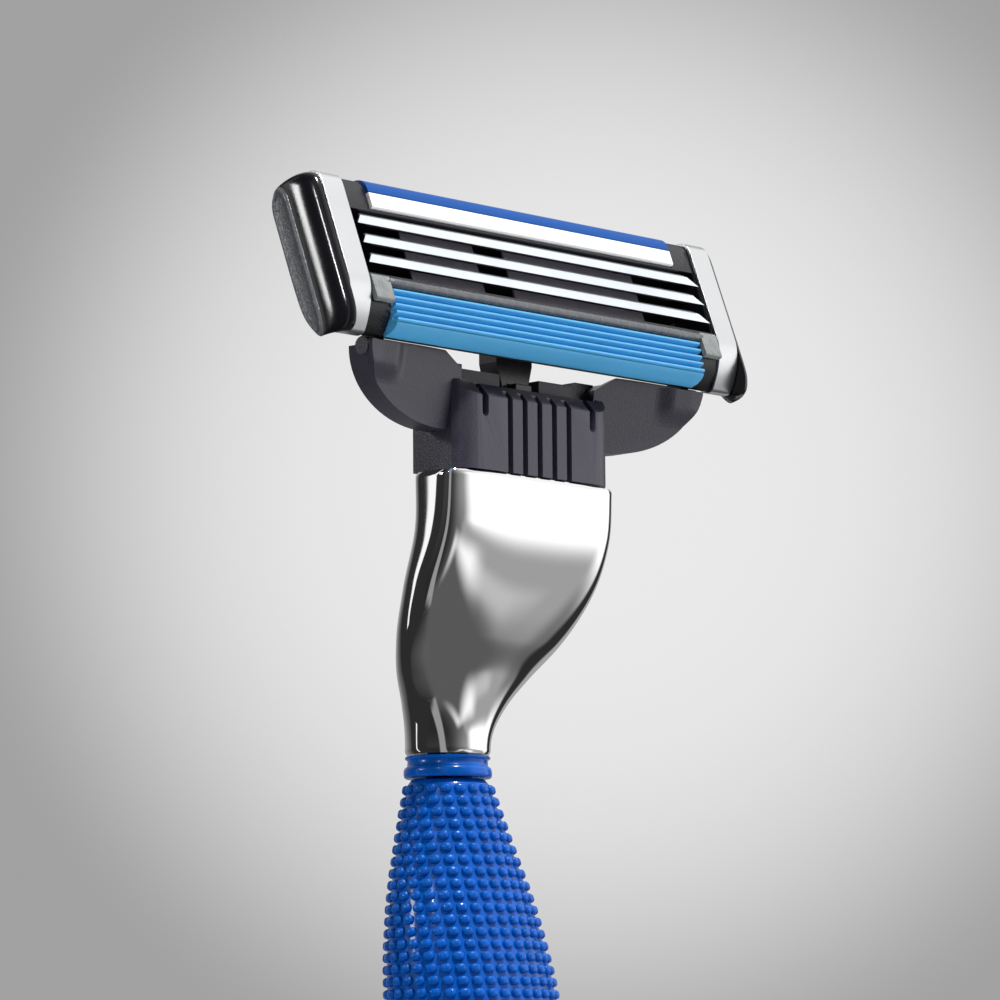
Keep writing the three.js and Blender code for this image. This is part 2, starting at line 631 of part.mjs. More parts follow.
// The yoke's plan: a flat front, two rounded front corners and square rear corners.
function yokePlan() {
  const shape = new THREE.Shape();
  shape.moveTo(-YOKE_FLAT_HALF, YOKE_FRONT);
  shape.lineTo(YOKE_FLAT_HALF, YOKE_FRONT);
  shape.quadraticCurveTo(YOKE_HALF - 0.25, YOKE_FRONT + 0.05, YOKE_HALF, YOKE_FRONT + YOKE_CORNER_DEPTH);
  shape.lineTo(YOKE_HALF, YOKE_REAR);
  shape.lineTo(-YOKE_HALF, YOKE_REAR);
  shape.lineTo(-YOKE_HALF, YOKE_FRONT + YOKE_CORNER_DEPTH);
  shape.quadraticCurveTo(0.25 - YOKE_HALF, YOKE_FRONT + 0.05, -YOKE_FLAT_HALF, YOKE_FRONT);
  return shape;
}

// A wing: a leaning, swept plate with an elliptical edge, crowned along the pivot line.
function wingSolid() {
  const inner = YOKE_HALF - 0.9;
  const shape = new THREE.Shape();
  shape.moveTo(inner, WING_CENTRE_Z - WING_DROP + 0.05);
  shape.lineTo(WING_CENTRE_X, WING_CENTRE_Z - WING_DROP);
  shape.absellipse(WING_CENTRE_X, WING_CENTRE_Z, WING_REACH, WING_DROP, -Math.PI / 2, 0.12);
  shape.lineTo(YOKE_HALF + WING_NOTCH, WING_CENTRE_Z + 0.6);
  shape.lineTo(inner, PIVOT_Z - 0.4);
  const g = plate(shape, [WING_SET_BACK, WING_SET_BACK + WING_THICK], 12);
  g.applyMatrix4(new THREE.Matrix4().set(1, 0, 0, 0, WING_SWEEP, 1, WING_LEAN, 0, 0, 0, 1, 0, 0, 0, 0, 1));
  const room = joined(
    block([0, CARTRIDGE_HALF], [YOKE_FRONT - 4, YOKE_REAR + 4], [YOKE_FOOT, PIVOT_Z + 0.12]),
    barAlongX([0, CARTRIDGE_HALF], PIVOT_Y, PIVOT_Z, CROWN_RADIUS, 28),
  );
  const hub = barAlongX([EAR_INNER - 0.8, WING_TIP], PIVOT_Y, PIVOT_Z, CROWN_RADIUS - 0.05, 20);
  const inside = block([0, WING_TIP], [YOKE_FRONT - 4, YOKE_REAR + 4], [YOKE_FOOT, PIVOT_Z + 4]);
  const earRoomSpan = [EAR_INNER - SLIDE_FIT, EAR_OUTER + SLIDE_FIT];
  const earRoom = barAlongX(earRoomSpan, PIVOT_Y, PIVOT_Z, EAR_SWEEP + SLIDE_FIT, 28);
  const pin = barAlongX([EAR_INNER - 0.4, EAR_OUTER + 0.4], PIVOT_Y, PIVOT_Z, TRUNNION_RADIUS, 20);
  const trimmed = solidOf(g).intersect(room).intersect(inside);
  return trimmed.add(hub).subtract(earRoom).add(pin);
}

function yokeSolid() {
  const full = stand(yokePlan(), [YOKE_FOOT, RIM_TOP]);
  const socket = block(
    [-SOCKET_HALF, SOCKET_HALF],
    [YOKE_SOCKET_FRONT, YOKE_SOCKET_BACK],
    [YOKE_FOOT - 1, CEILING],
  );
  const shaft = block(
    [-PLUNGER_HEAD_HALF - 0.2, PLUNGER_HEAD_HALF + 0.2],
    [STEM_Y - STEM_HALF - SLIDE_FIT, YOKE_REAR + 1],
    [CEILING - 1.2, RIM_TOP + 1],
  );
  const frontStep = block(
    [YOKE_CHEEK - YOKE_HALF, YOKE_HALF - YOKE_CHEEK],
    [YOKE_FRONT - 1, YOKE_SOCKET_FRONT + 1],
    [FRONT_TOP, RIM_TOP + 1],
  );
  const cheekSlope = runAlongX(
    [
      [YOKE_FRONT - 1, FRONT_TOP - 2],
      [YOKE_SOCKET_FRONT + 1, RIM_TOP - RIM_STEP],
      [YOKE_SOCKET_FRONT + 1, RIM_TOP + 1],
      [YOKE_FRONT - 1, RIM_TOP + 1],
    ],
    [-YOKE_HALF - 1, YOKE_HALF + 1],
  );
  const midStep = block(
    [-RIM_STEP_HALF, RIM_STEP_HALF],
    [YOKE_FRONT - 1, YOKE_REAR + 1],
    [RIM_TOP - RIM_STEP, RIM_TOP + 1],
  );
  const grooves = [];
  for (let i = 0; i < GRIP_GROOVES; i++) {
    const x = (i - (GRIP_GROOVES - 1) / 2) * GRIP_GROOVE_PITCH;
    grooves.push(
      block(
        [x - GRIP_GROOVE_WIDTH / 2, x + GRIP_GROOVE_WIDTH / 2],
        [YOKE_FRONT - 1, YOKE_FRONT + GRIP_GROOVE_DEPTH],
        [YOKE_FOOT - 1, FRONT_TOP + 1],
      ),
    );
  }
  const slots = [-1, 1].map((side) => {
    const shape = new THREE.Shape();
    const x = side * LATCH_SLOT_X;
    const half = LATCH_SLOT_WIDTH / 2;
    shape.moveTo(x - half, FRONT_TOP + 1);
    shape.lineTo(x - half, LATCH_SLOT_FOOT + half);
    shape.absarc(x, LATCH_SLOT_FOOT + half, half, Math.PI, 2 * Math.PI);
    shape.lineTo(x + half, FRONT_TOP + 1);
    return solidOf(plate(shape, [YOKE_FRONT - 1, YOKE_SOCKET_FRONT + 0.2], 5));
  });
  const wing = wingSolid();
  const shell = cut(full, socket, shaft, frontStep, cheekSlope, midStep, ...grooves, ...slots);
  return joined(shell, wing, mirrored(wing));
}

const yoke = new THREE.Group();
yoke.add(piece("yoke", yokeSolid(), DARK_PLASTIC()));

// ---- docking end: chassis, plunger, ejector, button ---------------------------------------

// The plunger: a tongue that narrows downwards and a square stem that stands on its spring.
function plungerSolid() {
  const tongue = new THREE.Shape();
  tongue.moveTo(-PLUNGER_HEAD_HALF, PLUNGER_TOP);
  tongue.lineTo(-PLUNGER_HEAD_HALF, PLUNGER_TOP - 0.8);
  tongue.lineTo(-PLUNGER_NECK_HALF, HEAD_LOW);
  tongue.lineTo(PLUNGER_NECK_HALF, HEAD_LOW);
  tongue.lineTo(PLUNGER_HEAD_HALF, PLUNGER_TOP - 0.8);
  tongue.lineTo(PLUNGER_HEAD_HALF, PLUNGER_TOP);
  const head = solidOf(plate(tongue, [PLUNGER_FRONT, PLUNGER_BACK]));
  const stemDepth = [STEM_Y - STEM_HALF, STEM_Y + STEM_HALF];
  const stem = block([-STEM_HALF, STEM_HALF], stemDepth, [STEM_FOOT, HEAD_LOW + 0.6]);
  return head.add(stem);
}

// The chassis: the tongue that the yoke slides over, with the plunger's well and a spring pocket.
function chassisSolid() {
  const tip = block(
    [-SOCKET_HALF + SLIDE_FIT, SOCKET_HALF - SLIDE_FIT],
    [CHASSIS_FRONT, CHASSIS_BACK],
    [CHASSIS_FOOT, CHASSIS_TOP],
  );
  const wellDepth = [STEM_Y - STEM_ROOM, STEM_Y + STEM_ROOM];
  const well = block([-STEM_ROOM, STEM_ROOM], wellDepth, [SPRING_FOOT, CHASSIS_TOP + 1]);
  const pocket = block(
    [FOOT_X - FOOT_HALF - SLIDE_FIT, FOOT_X + FOOT_HALF + SLIDE_FIT],
    [STEM_Y - STEM_ROOM, CHASSIS_BACK + 1],
    [CHASSIS_FOOT - 1, BUTTON_SPRING_TOP],
  );
  return cut(tip, well, pocket);
}

// The ejector: a two-pronged fork behind the chassis, with a foot that carries the button's spring.
function ejectorSolid() {
  const forkDepth = [EJECTOR_FRONT, EJECTOR_BACK];
  const fork = block([-EJECTOR_HALF, EJECTOR_HALF], forkDepth, [EJECTOR_FOOT, EJECTOR_TOP]);
  const gap = block(
    [-EJECTOR_GAP_HALF, EJECTOR_GAP_HALF],
    [EJECTOR_FRONT - 1, EJECTOR_BACK + 1],
    [CHASSIS_TOP - BUTTON_TRAVEL - 1.5, EJECTOR_TOP + 1],
  );
  const foot = block(
    [FOOT_X - FOOT_HALF, FOOT_X + FOOT_HALF],
    [STEM_Y - STEM_HALF, EJECTOR_BACK],
    [EJECTOR_FOOT, FOOT_TOP],
  );
  return joined(cut(fork, gap), foot);
}

// The release button: a thumb pad that follows the back of the neck, with a stem to the ejector.
function buttonSolid() {
  const zone = [BUTTON_FOOT, BUTTON_TOP];
  const outer = handleLength([BUTTON_FOOT - 1, BUTTON_TOP + 1], NECK_SPACING, BUTTON_RISE);
  const inner = handleLength([BUTTON_FOOT - 1.5, BUTTON_TOP + 1.5], NECK_SPACING, SLIDE_FIT);
  const window = block([-BUTTON_HALF, BUTTON_HALF], [EJECTOR_BACK + 0.5, EJECTOR_BACK + 10], zone);
  const pad = cut(outer, inner).intersect(window);
  const ribs = [];
  for (let i = 0; i < BUTTON_RIBS; i++) {
    const z = BUTTON_FOOT + 1.5 + i * BUTTON_RIB_PITCH;
    const y = handleCentre(z) + stationCurve.evaluate(-z)[2] + BUTTON_RISE;
    ribs.push(barAlongX([1 - BUTTON_HALF, BUTTON_HALF - 1], y - 0.05, z, 0.28, 8));
  }
  const stem = block(
    [-BUTTON_STEM_HALF, BUTTON_STEM_HALF],
    [EJECTOR_BACK + FIT, handleCentre(EJECTOR_FOOT) + stationCurve.evaluate(-EJECTOR_FOOT)[2] + 0.6],
    [EJECTOR_FOOT + 0.1, FOOT_TOP - 0.1],
  );
  return joined(pad, ...ribs, stem);
}

const plunger = new THREE.Group();
plunger.add(piece("plunger", plungerSolid(), BLACK_PLASTIC()));
const release = new THREE.Group();
release.add(piece("ejector", ejectorSolid(), DARK_PLASTIC()));
release.add(piece("release_button", buttonSolid(), DARK_PLASTIC()));

// ---- handle -------------------------------------------------------------------------------

// The neck casting: the handle's outline with the chassis pocket, the button's slot and a socket.
function neckSolid() {
  const outer = handleLength([NECK_FOOT, NECK_TOP], NECK_SPACING);
  const chassisPocket = block(
    [-SOCKET_HALF, SOCKET_HALF],
    [CHASSIS_FRONT - FIT, EJECTOR_BACK + SLIDE_FIT],
    [CHASSIS_FOOT - FIT, NECK_TOP + 1],
  );
  const ejectorPocket = block(
    [-EJECTOR_HALF - SLIDE_FIT, EJECTOR_HALF + SLIDE_FIT],
    [STEM_Y - STEM_HALF - SLIDE_FIT, EJECTOR_BACK + SLIDE_FIT],
    [EJECTOR_FOOT - SLIDE_FIT, NECK_TOP + 1],
  );
  const stemSlot = block(
    [-BUTTON_STEM_HALF - SLIDE_FIT, BUTTON_STEM_HALF + SLIDE_FIT],
    [EJECTOR_FRONT, EJECTOR_BACK + 10],
    [EJECTOR_FOOT, FOOT_TOP - 0.1 + BUTTON_TRAVEL + SLIDE_FIT],
  );
  const socket = tangBlock(NECK_FOOT, [-1, TANG_LENGTH + 0.3], FIT);
  return cut(outer, chassisPocket, ejectorPocket, stemSlot, socket);
}

// The core's tang: the largest rectangle inside the rod's oval at height z, over a span from there.
function tangBlock(z, [below, above], grow = 0) {
  const [centre, halfWidth, halfDepth] = stationCurve.evaluate(-z);
  const x = (halfWidth - SLEEVE_THICK - FIT) * Math.SQRT1_2 + grow;
  const y = (halfDepth - SLEEVE_THICK - FIT) * Math.SQRT1_2 + grow;
  return block([-x, x], [centre - y, centre + y], [z + below, z + above]);
}

// The core: a rod under the sleeve and collar, with a tang at each end.
function coreSolid() {
  const rod = handleLength([GRIP_FOOT, COLLAR_TOP], GRIP_SPACING, -SLEEVE_THICK - FIT, 20);
  const upper = tangBlock(NECK_FOOT, [-1, TANG_LENGTH]);
  const lower = tangBlock(GRIP_FOOT, [-TANG_LENGTH, 1]);
  return joined(rod, upper, lower);
}

function sleeveSolid(low, high) {
  const outer = handleLength([low, high], GRIP_SPACING);
  const bore = handleLength([GRIP_FOOT - 1, COLLAR_TOP + 1], GRIP_SPACING, -SLEEVE_THICK, 20);
  return cut(outer, bore);
}

// The tail: a chromed shell with a socket for the core and a bore for the weight.
function tailSolid() {
  const outer = handleLength([TAIL_FOOT, TAIL_TOP], GRIP_SPACING);
  const socket = tangBlock(GRIP_FOOT, [-TANG_LENGTH - 0.3, 1], FIT);
  const bore = barAlongZ(0, WEIGHT_Y, [TAIL_FOOT - 1, WEIGHT_TOP + FIT], WEIGHT_RADIUS + FIT);
  return cut(outer, socket, bore);
}

const handle = new THREE.Group();
handle.add(piece("neck", neckSolid(), CHROME()));
handle.add(piece("docking_chassis", chassisSolid(), BLACK_PLASTIC()));
handle.add(
  piece(
    "plunger_spring",
    coil(0, STEM_Y, [SPRING_FOOT + 0.05, STEM_FOOT - 0.05], SPRING_RADIUS, WIRE_RADIUS, 5),
    SPRING_STEEL(),
  ),
);
handle.add(
  piece(
    "button_spring",
    coil(FOOT_X, STEM_Y, [FOOT_TOP + 0.05, BUTTON_SPRING_TOP - 0.05], SPRING_RADIUS, WIRE_RADIUS, 4),
    SPRING_STEEL(),
  ),
);
handle.add(piece("handle_core", coreSolid(), DARK_PLASTIC()));
handle.add(piece("grip_collar", sleeveSolid(COLLAR_FOOT, COLLAR_TOP), GRIP_BLUE()));
handle.add(piece("grip_sleeve", sleeveSolid(GRIP_FOOT, SLEEVE_TOP), GRIP_BLUE()));
handle.add(piece("tail", tailSolid(), CHROME()));
const weightBar = barAlongZ(0, WEIGHT_Y, [TAIL_FOOT + 0.05, WEIGHT_TOP], WEIGHT_RADIUS);
handle.add(piece("balance_weight", weightBar, SPRING_STEEL()));
handle.add(
  piece("end_cap", handleLength([-HEAD_HEIGHT, TAIL_FOOT - SEAT_GAP / 2], NECK_SPACING), GRIP_BLUE()),
);

// ---- the razor ----------------------------------------------------------------------------

const razor = new THREE.Group();
razor.position.set(0, -HEAD_FORWARD, HEAD_HEIGHT);
razor.add(cartridge, yoke, plunger, release, handle);

const root = new THREE.Group();
root.add(razor);
export default root;
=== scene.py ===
# %% [markdown]
# # A cartridge razor
# The frame below holds the razor's exact solids and says which of them move together.
# This lesson gives them their looks: softly rounded mouldings, mirror chrome, ground steel
# and a blue elastomer grip covered in small nubs. Sizes of the razor are millimetres until the
# last step of each shape, which turns them into metres in the frame's own axes. The floor, the
# lamps and the camera are in metres throughout.

import math

import bmesh
import bpy
import numpy as np
from mathutils import Matrix, Vector


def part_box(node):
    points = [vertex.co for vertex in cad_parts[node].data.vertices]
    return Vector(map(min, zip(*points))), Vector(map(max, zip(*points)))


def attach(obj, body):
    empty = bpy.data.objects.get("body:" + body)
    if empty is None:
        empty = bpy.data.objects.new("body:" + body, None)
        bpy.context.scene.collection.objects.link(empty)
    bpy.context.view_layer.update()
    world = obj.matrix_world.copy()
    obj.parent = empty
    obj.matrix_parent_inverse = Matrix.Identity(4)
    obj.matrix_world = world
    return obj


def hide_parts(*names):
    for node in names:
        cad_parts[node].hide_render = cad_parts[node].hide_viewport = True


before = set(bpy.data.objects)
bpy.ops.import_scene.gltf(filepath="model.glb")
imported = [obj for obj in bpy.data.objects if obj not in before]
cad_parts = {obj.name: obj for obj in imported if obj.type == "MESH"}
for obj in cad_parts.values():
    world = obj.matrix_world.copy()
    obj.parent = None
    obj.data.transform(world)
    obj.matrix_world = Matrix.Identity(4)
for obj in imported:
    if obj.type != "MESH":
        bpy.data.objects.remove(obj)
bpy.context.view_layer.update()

# %% [markdown]
# ## Two sets of axes
# The cartridge leans back by about twenty-one degrees, so its parts are easiest to draw in
# axes that lean with it: x along the blades, w into the cartridge and v up its face, from
# the edge of the middle blade. Everything below the cartridge is drawn from the same point
# without the lean. Two small functions carry points from there to the frame.

# %% From the maker's axes to the frame
MM = 0.001
UM = 1e-6
LEAN = math.radians(20.9)
HEAD = np.array([0.0, -9.6, 143.0])


def from_head(points):
    """Adds the head's place to points drawn from the middle blade's edge, and turns mm to m."""
    return (np.asarray(points, float) + HEAD) * MM


def from_cartridge(points):
    """Turns (x, w, v) about the X axis: y = v sin(lean) + w cos(lean), z = v cos(lean) - w sin(lean)."""
    x, w, v = np.moveaxis(np.asarray(points, float), -1, 0)
    y = v * math.sin(LEAN) + w * math.cos(LEAN)
    z = v * math.cos(LEAN) - w * math.sin(LEAN)
    return from_head(np.stack([x, y, z], -1))


blade_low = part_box("blade_2")[0]
print("middle blade's edge, front and low, in mm:", round(blade_low.y / MM, 2), round(blade_low.z / MM, 2))

# %% [markdown]
# ## From arrays to meshes
# Every new surface is a grid of points worked out by numpy. The grid becomes quads whose
# corner numbers follow from simple counting, so no point is handled one by one. A bevel
# rounds what would otherwise be a knife edge, because a real moulding or stamping always
# catches a thin line of light there.

# %% Mesh helpers
WELD = 1e-7
BEVEL_SEGMENTS = 2
LARGEST_CORNER_SHARE = 0.45


def grid_faces(rows, cols, wrap):
    """Quads between neighbouring rows and columns; with wrap the last column meets the first."""
    r, c = np.meshgrid(np.arange(rows - 1), np.arange(cols if wrap else cols - 1), indexing="ij")
    d = (c + 1) % cols
    quads = np.stack([r * cols + c, r * cols + d, (r + 1) * cols + d, (r + 1) * cols + c], -1)
    return quads.reshape(-1, 4)


def make_piece(name, points, faces, body, made_of, replaces=(), sharp=32, bevel=0.0):
    """A mesh object in the frame's axes, with outward faces, riding on a body."""
    mesh = bpy.data.meshes.new(name)
    mesh.from_pydata(np.asarray(points).reshape(-1, 3).tolist(), [], [list(f) for f in faces])
    work = bmesh.new()
    work.from_mesh(mesh)
    bmesh.ops.remove_doubles(work, verts=work.verts, dist=WELD)
    bmesh.ops.recalc_face_normals(work, faces=work.faces)
    work.to_mesh(mesh)
    work.free()
    return dress(name, mesh, body, made_of, replaces, sharp, bevel)


def dress(name, mesh, body, made_of, replaces=(), sharp=32, bevel=0.0):
    """Puts a finished mesh into the scene: shading, soft edges, material and body."""
    mesh.shade_smooth()
    mesh.set_sharp_from_angle(angle=math.radians(sharp))
    mesh.materials.clear()
    mesh.materials.append(made_of)
    piece = bpy.data.objects.new(name, mesh)
    bpy.context.scene.collection.objects.link(piece)
    if bevel:
        soft = piece.modifiers.new("soft_edges", "BEVEL")
        soft.width = bevel * MM
        soft.segments = BEVEL_SEGMENTS
        soft.limit_method = "ANGLE"
        soft.angle_limit = math.radians(sharp)
        soft.harden_normals = True
    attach(piece, body)
    if replaces:
        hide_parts(*replaces)
    print(f"{name}: {len(mesh.polygons)} faces on {body}")
    return piece


def rounded(corners, radius, steps=5):
    """Swaps each corner for a small curve: (1-t)^2 start + 2t(1-t) corner + t^2 end.
    The curve starts and ends a radius away, but never past 0.45 of a side."""
    c = np.asarray(corners, float)
    r = np.broadcast_to(np.asarray(radius, float), len(c))[:, None]
    back, ahead = np.roll(c, 1, 0) - c, np.roll(c, -1, 0) - c
    back_length = np.linalg.norm(back, axis=1, keepdims=True)
    ahead_length = np.linalg.norm(ahead, axis=1, keepdims=True)
    start = c + back * np.minimum(r / back_length, LARGEST_CORNER_SHARE)
    end = c + ahead * np.minimum(r / ahead_length, LARGEST_CORNER_SHARE)
    t = np.linspace(0, 1, steps)[None, :, None]
    curve = (1 - t) ** 2 * start[:, None] + 2 * t * (1 - t) * c[:, None] + t**2 * end[:, None]
    return curve.reshape(-1, 2)


def run_along_x(outline, stations):
    """Rings of a (w, v) outline at each x; returns the points and the faces of the closed bar."""
    outline = np.asarray(outline, float)
    xs = np.asarray(stations, float)
    n = len(outline)
    x = np.repeat(xs[:, None], n, 1)[..., None]
    rings = np.concatenate([x, np.repeat(outline[None], len(xs), 0)], -1)
    faces = grid_faces(len(xs), n, True).tolist()
    faces.append(list(range(n))[::-1])
    faces.append([(len(xs) - 1) * n + i for i in range(n)])
    return rings, faces


def loft(rings):
    """Quads through rings of equal count, closed at both ends with one flat face each."""
    rows, cols = rings.shape[:2]
    faces = grid_faces(rows, cols, True).tolist()
    faces.append(list(range(cols))[::-1])
    faces.append([(rows - 1) * cols + i for i in range(cols)])
    return faces


# %% [markdown]
# ## Finishes
# A finish is more than a colour. Moulded plastic has a fine grain from the etched tool,
# rolled aluminium has lines along its rolling direction, and even chrome is not perfectly
# even. Each finish mixes two noises in object coordinates: a coarse one that shifts colour
# and roughness a little, and a fine one that lifts the surface by a few micrometres.

# %% The finish maker
NOISE_LOW, NOISE_HIGH = 0.3, 0.7
SMOOTHEST = 0.02
EQUAL_SHARE = 0.5


def noise(tree, coords, size_mm, stretch=(1, 1, 1), detail=3.0):
    """Noise whose lumps are about size_mm wide, longer along the axes with a small stretch."""
    place = tree.nodes.new("ShaderNodeMapping")
    place.inputs["Scale"].default_value = tuple(s / (size_mm * MM) for s in stretch)
    made = tree.nodes.new("ShaderNodeTexNoise")
    made.inputs["Scale"].default_value = 1.0
    made.inputs["Detail"].default_value = detail
    tree.links.new(coords.outputs["Object"], place.inputs["Vector"])
    tree.links.new(place.outputs["Vector"], made.inputs["Vector"])
    return made.outputs["Fac"]


def finish(name, colour, roughness, metal=0.0, spread=0.08, rough_spread=0.05, patch_mm=4.0,
           grain_mm=0.12, grain_um=3.0, stretch=(1, 1, 1), **sockets):
    """A Principled finish: patches shift the colour, grain lifts the surface, and half of each
    noise added together shifts the roughness."""
    made = bpy.data.materials.new(name)
    made.use_nodes = True
    tree = made.node_tree
    shader = tree.nodes["Principled BSDF"]
    shader.inputs["Metallic"].default_value = metal
    for socket, value in sockets.items():
        shader.inputs[socket.replace("_", " ")].default_value = value
    coords = tree.nodes.new("ShaderNodeTexCoord")
    patches = noise(tree, coords, patch_mm, stretch)
    tint = tree.nodes.new("ShaderNodeMix")
    tint.data_type = "RGBA"
    tint.inputs["A"].default_value = (*[c * (1 - spread) for c in colour], 1)
    tint.inputs["B"].default_value = (*[min(1, c * (1 + spread)) for c in colour], 1)
    tree.links.new(patches, tint.inputs["Factor"])
    tree.links.new(tint.outputs["Result"], shader.inputs["Base Color"])
    grain = noise(tree, coords, grain_mm, stretch, 2.0)
    gloss = tree.nodes.new("ShaderNodeMapRange")
    gloss.inputs["From Min"].default_value = NOISE_LOW
    gloss.inputs["From Max"].default_value = NOISE_HIGH
    gloss.inputs["To Min"].default_value = max(SMOOTHEST, roughness - rough_spread)
    gloss.inputs["To Max"].default_value = roughness + rough_spread
    both = tree.nodes.new("ShaderNodeMath")
    both.operation = "MULTIPLY_ADD"
    both.inputs[1].default_value = EQUAL_SHARE
    half = tree.nodes.new("ShaderNodeMath")
    half.operation = "MULTIPLY"
    half.inputs[1].default_value = EQUAL_SHARE
    tree.links.new(patches, half.inputs[0])
    tree.links.new(grain, both.inputs[0])
    tree.links.new(half.outputs[0], both.inputs[2])
    tree.links.new(both.outputs[0], gloss.inputs["Value"])
    tree.links.new(gloss.outputs["Result"], shader.inputs["Roughness"])
    lift = tree.nodes.new("ShaderNodeBump")
    lift.inputs["Distance"].default_value = grain_um * UM
    lift.inputs["Strength"].default_value = 1.0
    tree.links.new(grain, lift.inputs["Height"])
    tree.links.new(lift.outputs["Normal"], shader.inputs["Normal"])
    print(f"{name}: roughness {roughness}, grain {grain_mm} mm wide and {grain_um} um high")
    return made


# %% The razor's finishes
housing_plastic = finish("housing_plastic", (0.009, 0.009, 0.012), 0.30, grain_mm=0.16, grain_um=16,
                         spread=0.25, Specular_IOR_Level=0.4)
band_plastic = finish("band_plastic", (0.085, 0.090, 0.10), 0.26, grain_mm=0.14, grain_um=34, spread=0.4,
                      patch_mm=0.5)
# Painted light: the end pads' plastic is the guard bar's grained plastic made over twice as light, for the
# strong light on the end blocks.
lit_pad_plastic = finish("lit_pad_plastic", (0.20, 0.21, 0.21), 0.3, grain_mm=0.15, grain_um=34, spread=0.4,
                     patch_mm=0.5)
cap_plastic = finish("cap_plastic", (0.006, 0.0055, 0.008), 0.14, grain_mm=0.1, grain_um=1.0, spread=0.2)
yoke_plastic = finish("yoke_plastic", (0.032, 0.029, 0.045), 0.36, grain_mm=0.14, grain_um=22, spread=0.15,
                      patch_mm=0.6)
black_plastic = finish("black_plastic", (0.010, 0.009, 0.013), 0.3, grain_um=2)
comb_elastomer = finish("comb_elastomer", (0.075, 0.36, 0.66), 0.22, grain_um=1.0, spread=0.06,
                        Subsurface_Weight=0.1, Subsurface_Scale=0.0004)
grip_elastomer = finish("grip_elastomer", (0.0, 0.080, 0.40), 0.26, grain_um=1.5, spread=0.3, patch_mm=1.2,
                        Coat_Weight=0.3, Coat_Roughness=0.06, Specular_IOR_Level=0.12)
strip_white = finish("strip_white", (0.82, 0.83, 0.83), 0.4, grain_mm=0.2, grain_um=3, spread=0.03)
strip_blue = finish("strip_blue", (0.0, 0.060, 0.27), 0.4, grain_mm=0.2, grain_um=4, spread=0.1,
                    Specular_IOR_Level=0.2)
clip_aluminium = finish("clip_aluminium", (0.66, 0.67, 0.68), 0.3, 1.0, spread=0.06, grain_mm=0.05,
                        grain_um=0.6, stretch=(0.06, 1, 1))
blade_steel = finish("blade_steel", (0.80, 0.85, 0.89), 0.34, 1.0, spread=0.08, patch_mm=3, grain_mm=0.05,
                     grain_um=0.5, stretch=(1, 0.1, 0.1))
support_steel = finish("support_steel", (0.20, 0.19, 0.23), 0.42, 1.0, spread=0.2, patch_mm=2.5, grain_um=2)
# Painted light: the plates' grey is much paler than a grey plastic, so that they read lit deep in the gaps
# between the blades.
lit_plate_grey = finish("lit_plate_grey", (0.62, 0.59, 0.68), 0.5, 0.2, spread=0.15, patch_mm=2.5, grain_um=2)
spring_steel = finish("spring_steel", (0.55, 0.56, 0.58), 0.28, 1.0, grain_um=0.5)
weight_steel = finish("weight_steel", (0.45, 0.45, 0.46), 0.34, 1.0, grain_um=1.0)
neck_chrome = finish("neck_chrome", (0.80, 0.80, 0.81), 0.045, 1.0, spread=0.015, rough_spread=0.015,
                     patch_mm=9, grain_mm=2.5, grain_um=0.4)

# %% [markdown]
# ## The clips
# Two bands of bright aluminium are bent round the housing to hold the blades in. Each is one
# strip of sheet, so its outline is the outer bend and, one sheet thickness inside it, the
# inner bend. The band is that outline carried along x for the width of the clip.

# %% Clips
CLIP_INNER, CLIP_OUTER = 17.24, 19.23
CLIP_SHEET = 0.26
BEND_RADIUS, BEND_STEPS = 0.45, 5
CLIP_STATIONS = 4
clip_line = np.array([
    (3.6, -4.25), (2.75, -5.75), (1.95, -6.02), (1.48, -5.6), (0.87, -4.85), (0.35, -4.0), (0.02, -3.0),
    (0.0, -1.0), (0.0, 2.0), (0.0, 4.75), (0.28, 5.3), (0.95, 5.62), (2.0, 5.62), (2.65, 5.52),
    (4.06, 4.78), (4.06, 3.9),
])


def band_outline(line, sheet):
    """The line thickened to one side: each inner point lies one sheet along the line's normal.
    A point past the end lets the last bend be rounded, and is then cut off with its curve."""
    past_end = line[-1:] + (0, -0.4)
    line = rounded(np.concatenate([line, past_end]), BEND_RADIUS, BEND_STEPS)[BEND_STEPS - 2:-BEND_STEPS]
    ahead = np.gradient(line, axis=0)
    ahead /= np.linalg.norm(ahead, axis=1, keepdims=True) + 1e-12
    inner = line + sheet * np.stack([ahead[:, 1], -ahead[:, 0]], 1)
    return np.concatenate([line, inner[::-1]])


clip_outline = band_outline(clip_line, CLIP_SHEET)
for side, name in ((1, "clip_right"), (-1, "clip_left")):
    rings, faces = run_along_x(clip_outline, side * np.linspace(CLIP_INNER, CLIP_OUTER, CLIP_STATIONS))
    make_piece(name + "_band", from_cartridge(rings), faces, "cartridge", clip_aluminium,
               (name,), sharp=40, bevel=0.07)

# %% [markdown]
# ## The end caps
# The ends of the housing are glossy pillows that round off towards the outside. Their
# outline shrinks as it nears the end and swells in between, which is a stack of scaled
# outlines whose scale follows a quarter of an ellipse. A thin grained band with a soft crown
# closes the outer end of each cap.

# %% End caps
CARTRIDGE_HALF = 20.4
CAP_START = CLIP_OUTER + 0.05
CAP_RIDGE_W, CAP_BACK_W = 2.35, 4.1
CAP_MIDDLE_V, CAP_SHRINK = -0.4, 0.055
CAP_ROWS = 16
BAND_PROUD = 0.12
cap_corners = [
    (0.08, -3.0), (0.08, 4.6), (0.45, 5.25), (1.1, 5.6), (1.8, 5.66), (2.5, 5.6), (4.1, 4.7), (4.1, -1.3),
    (3.94, -3.62), (3.41, -4.82), (2.05, -6.08), (1.2, -6.46), (0.5, -6.16), (0.1, -5.2),
]
cap_outline = rounded(cap_corners, 0.9, 7)


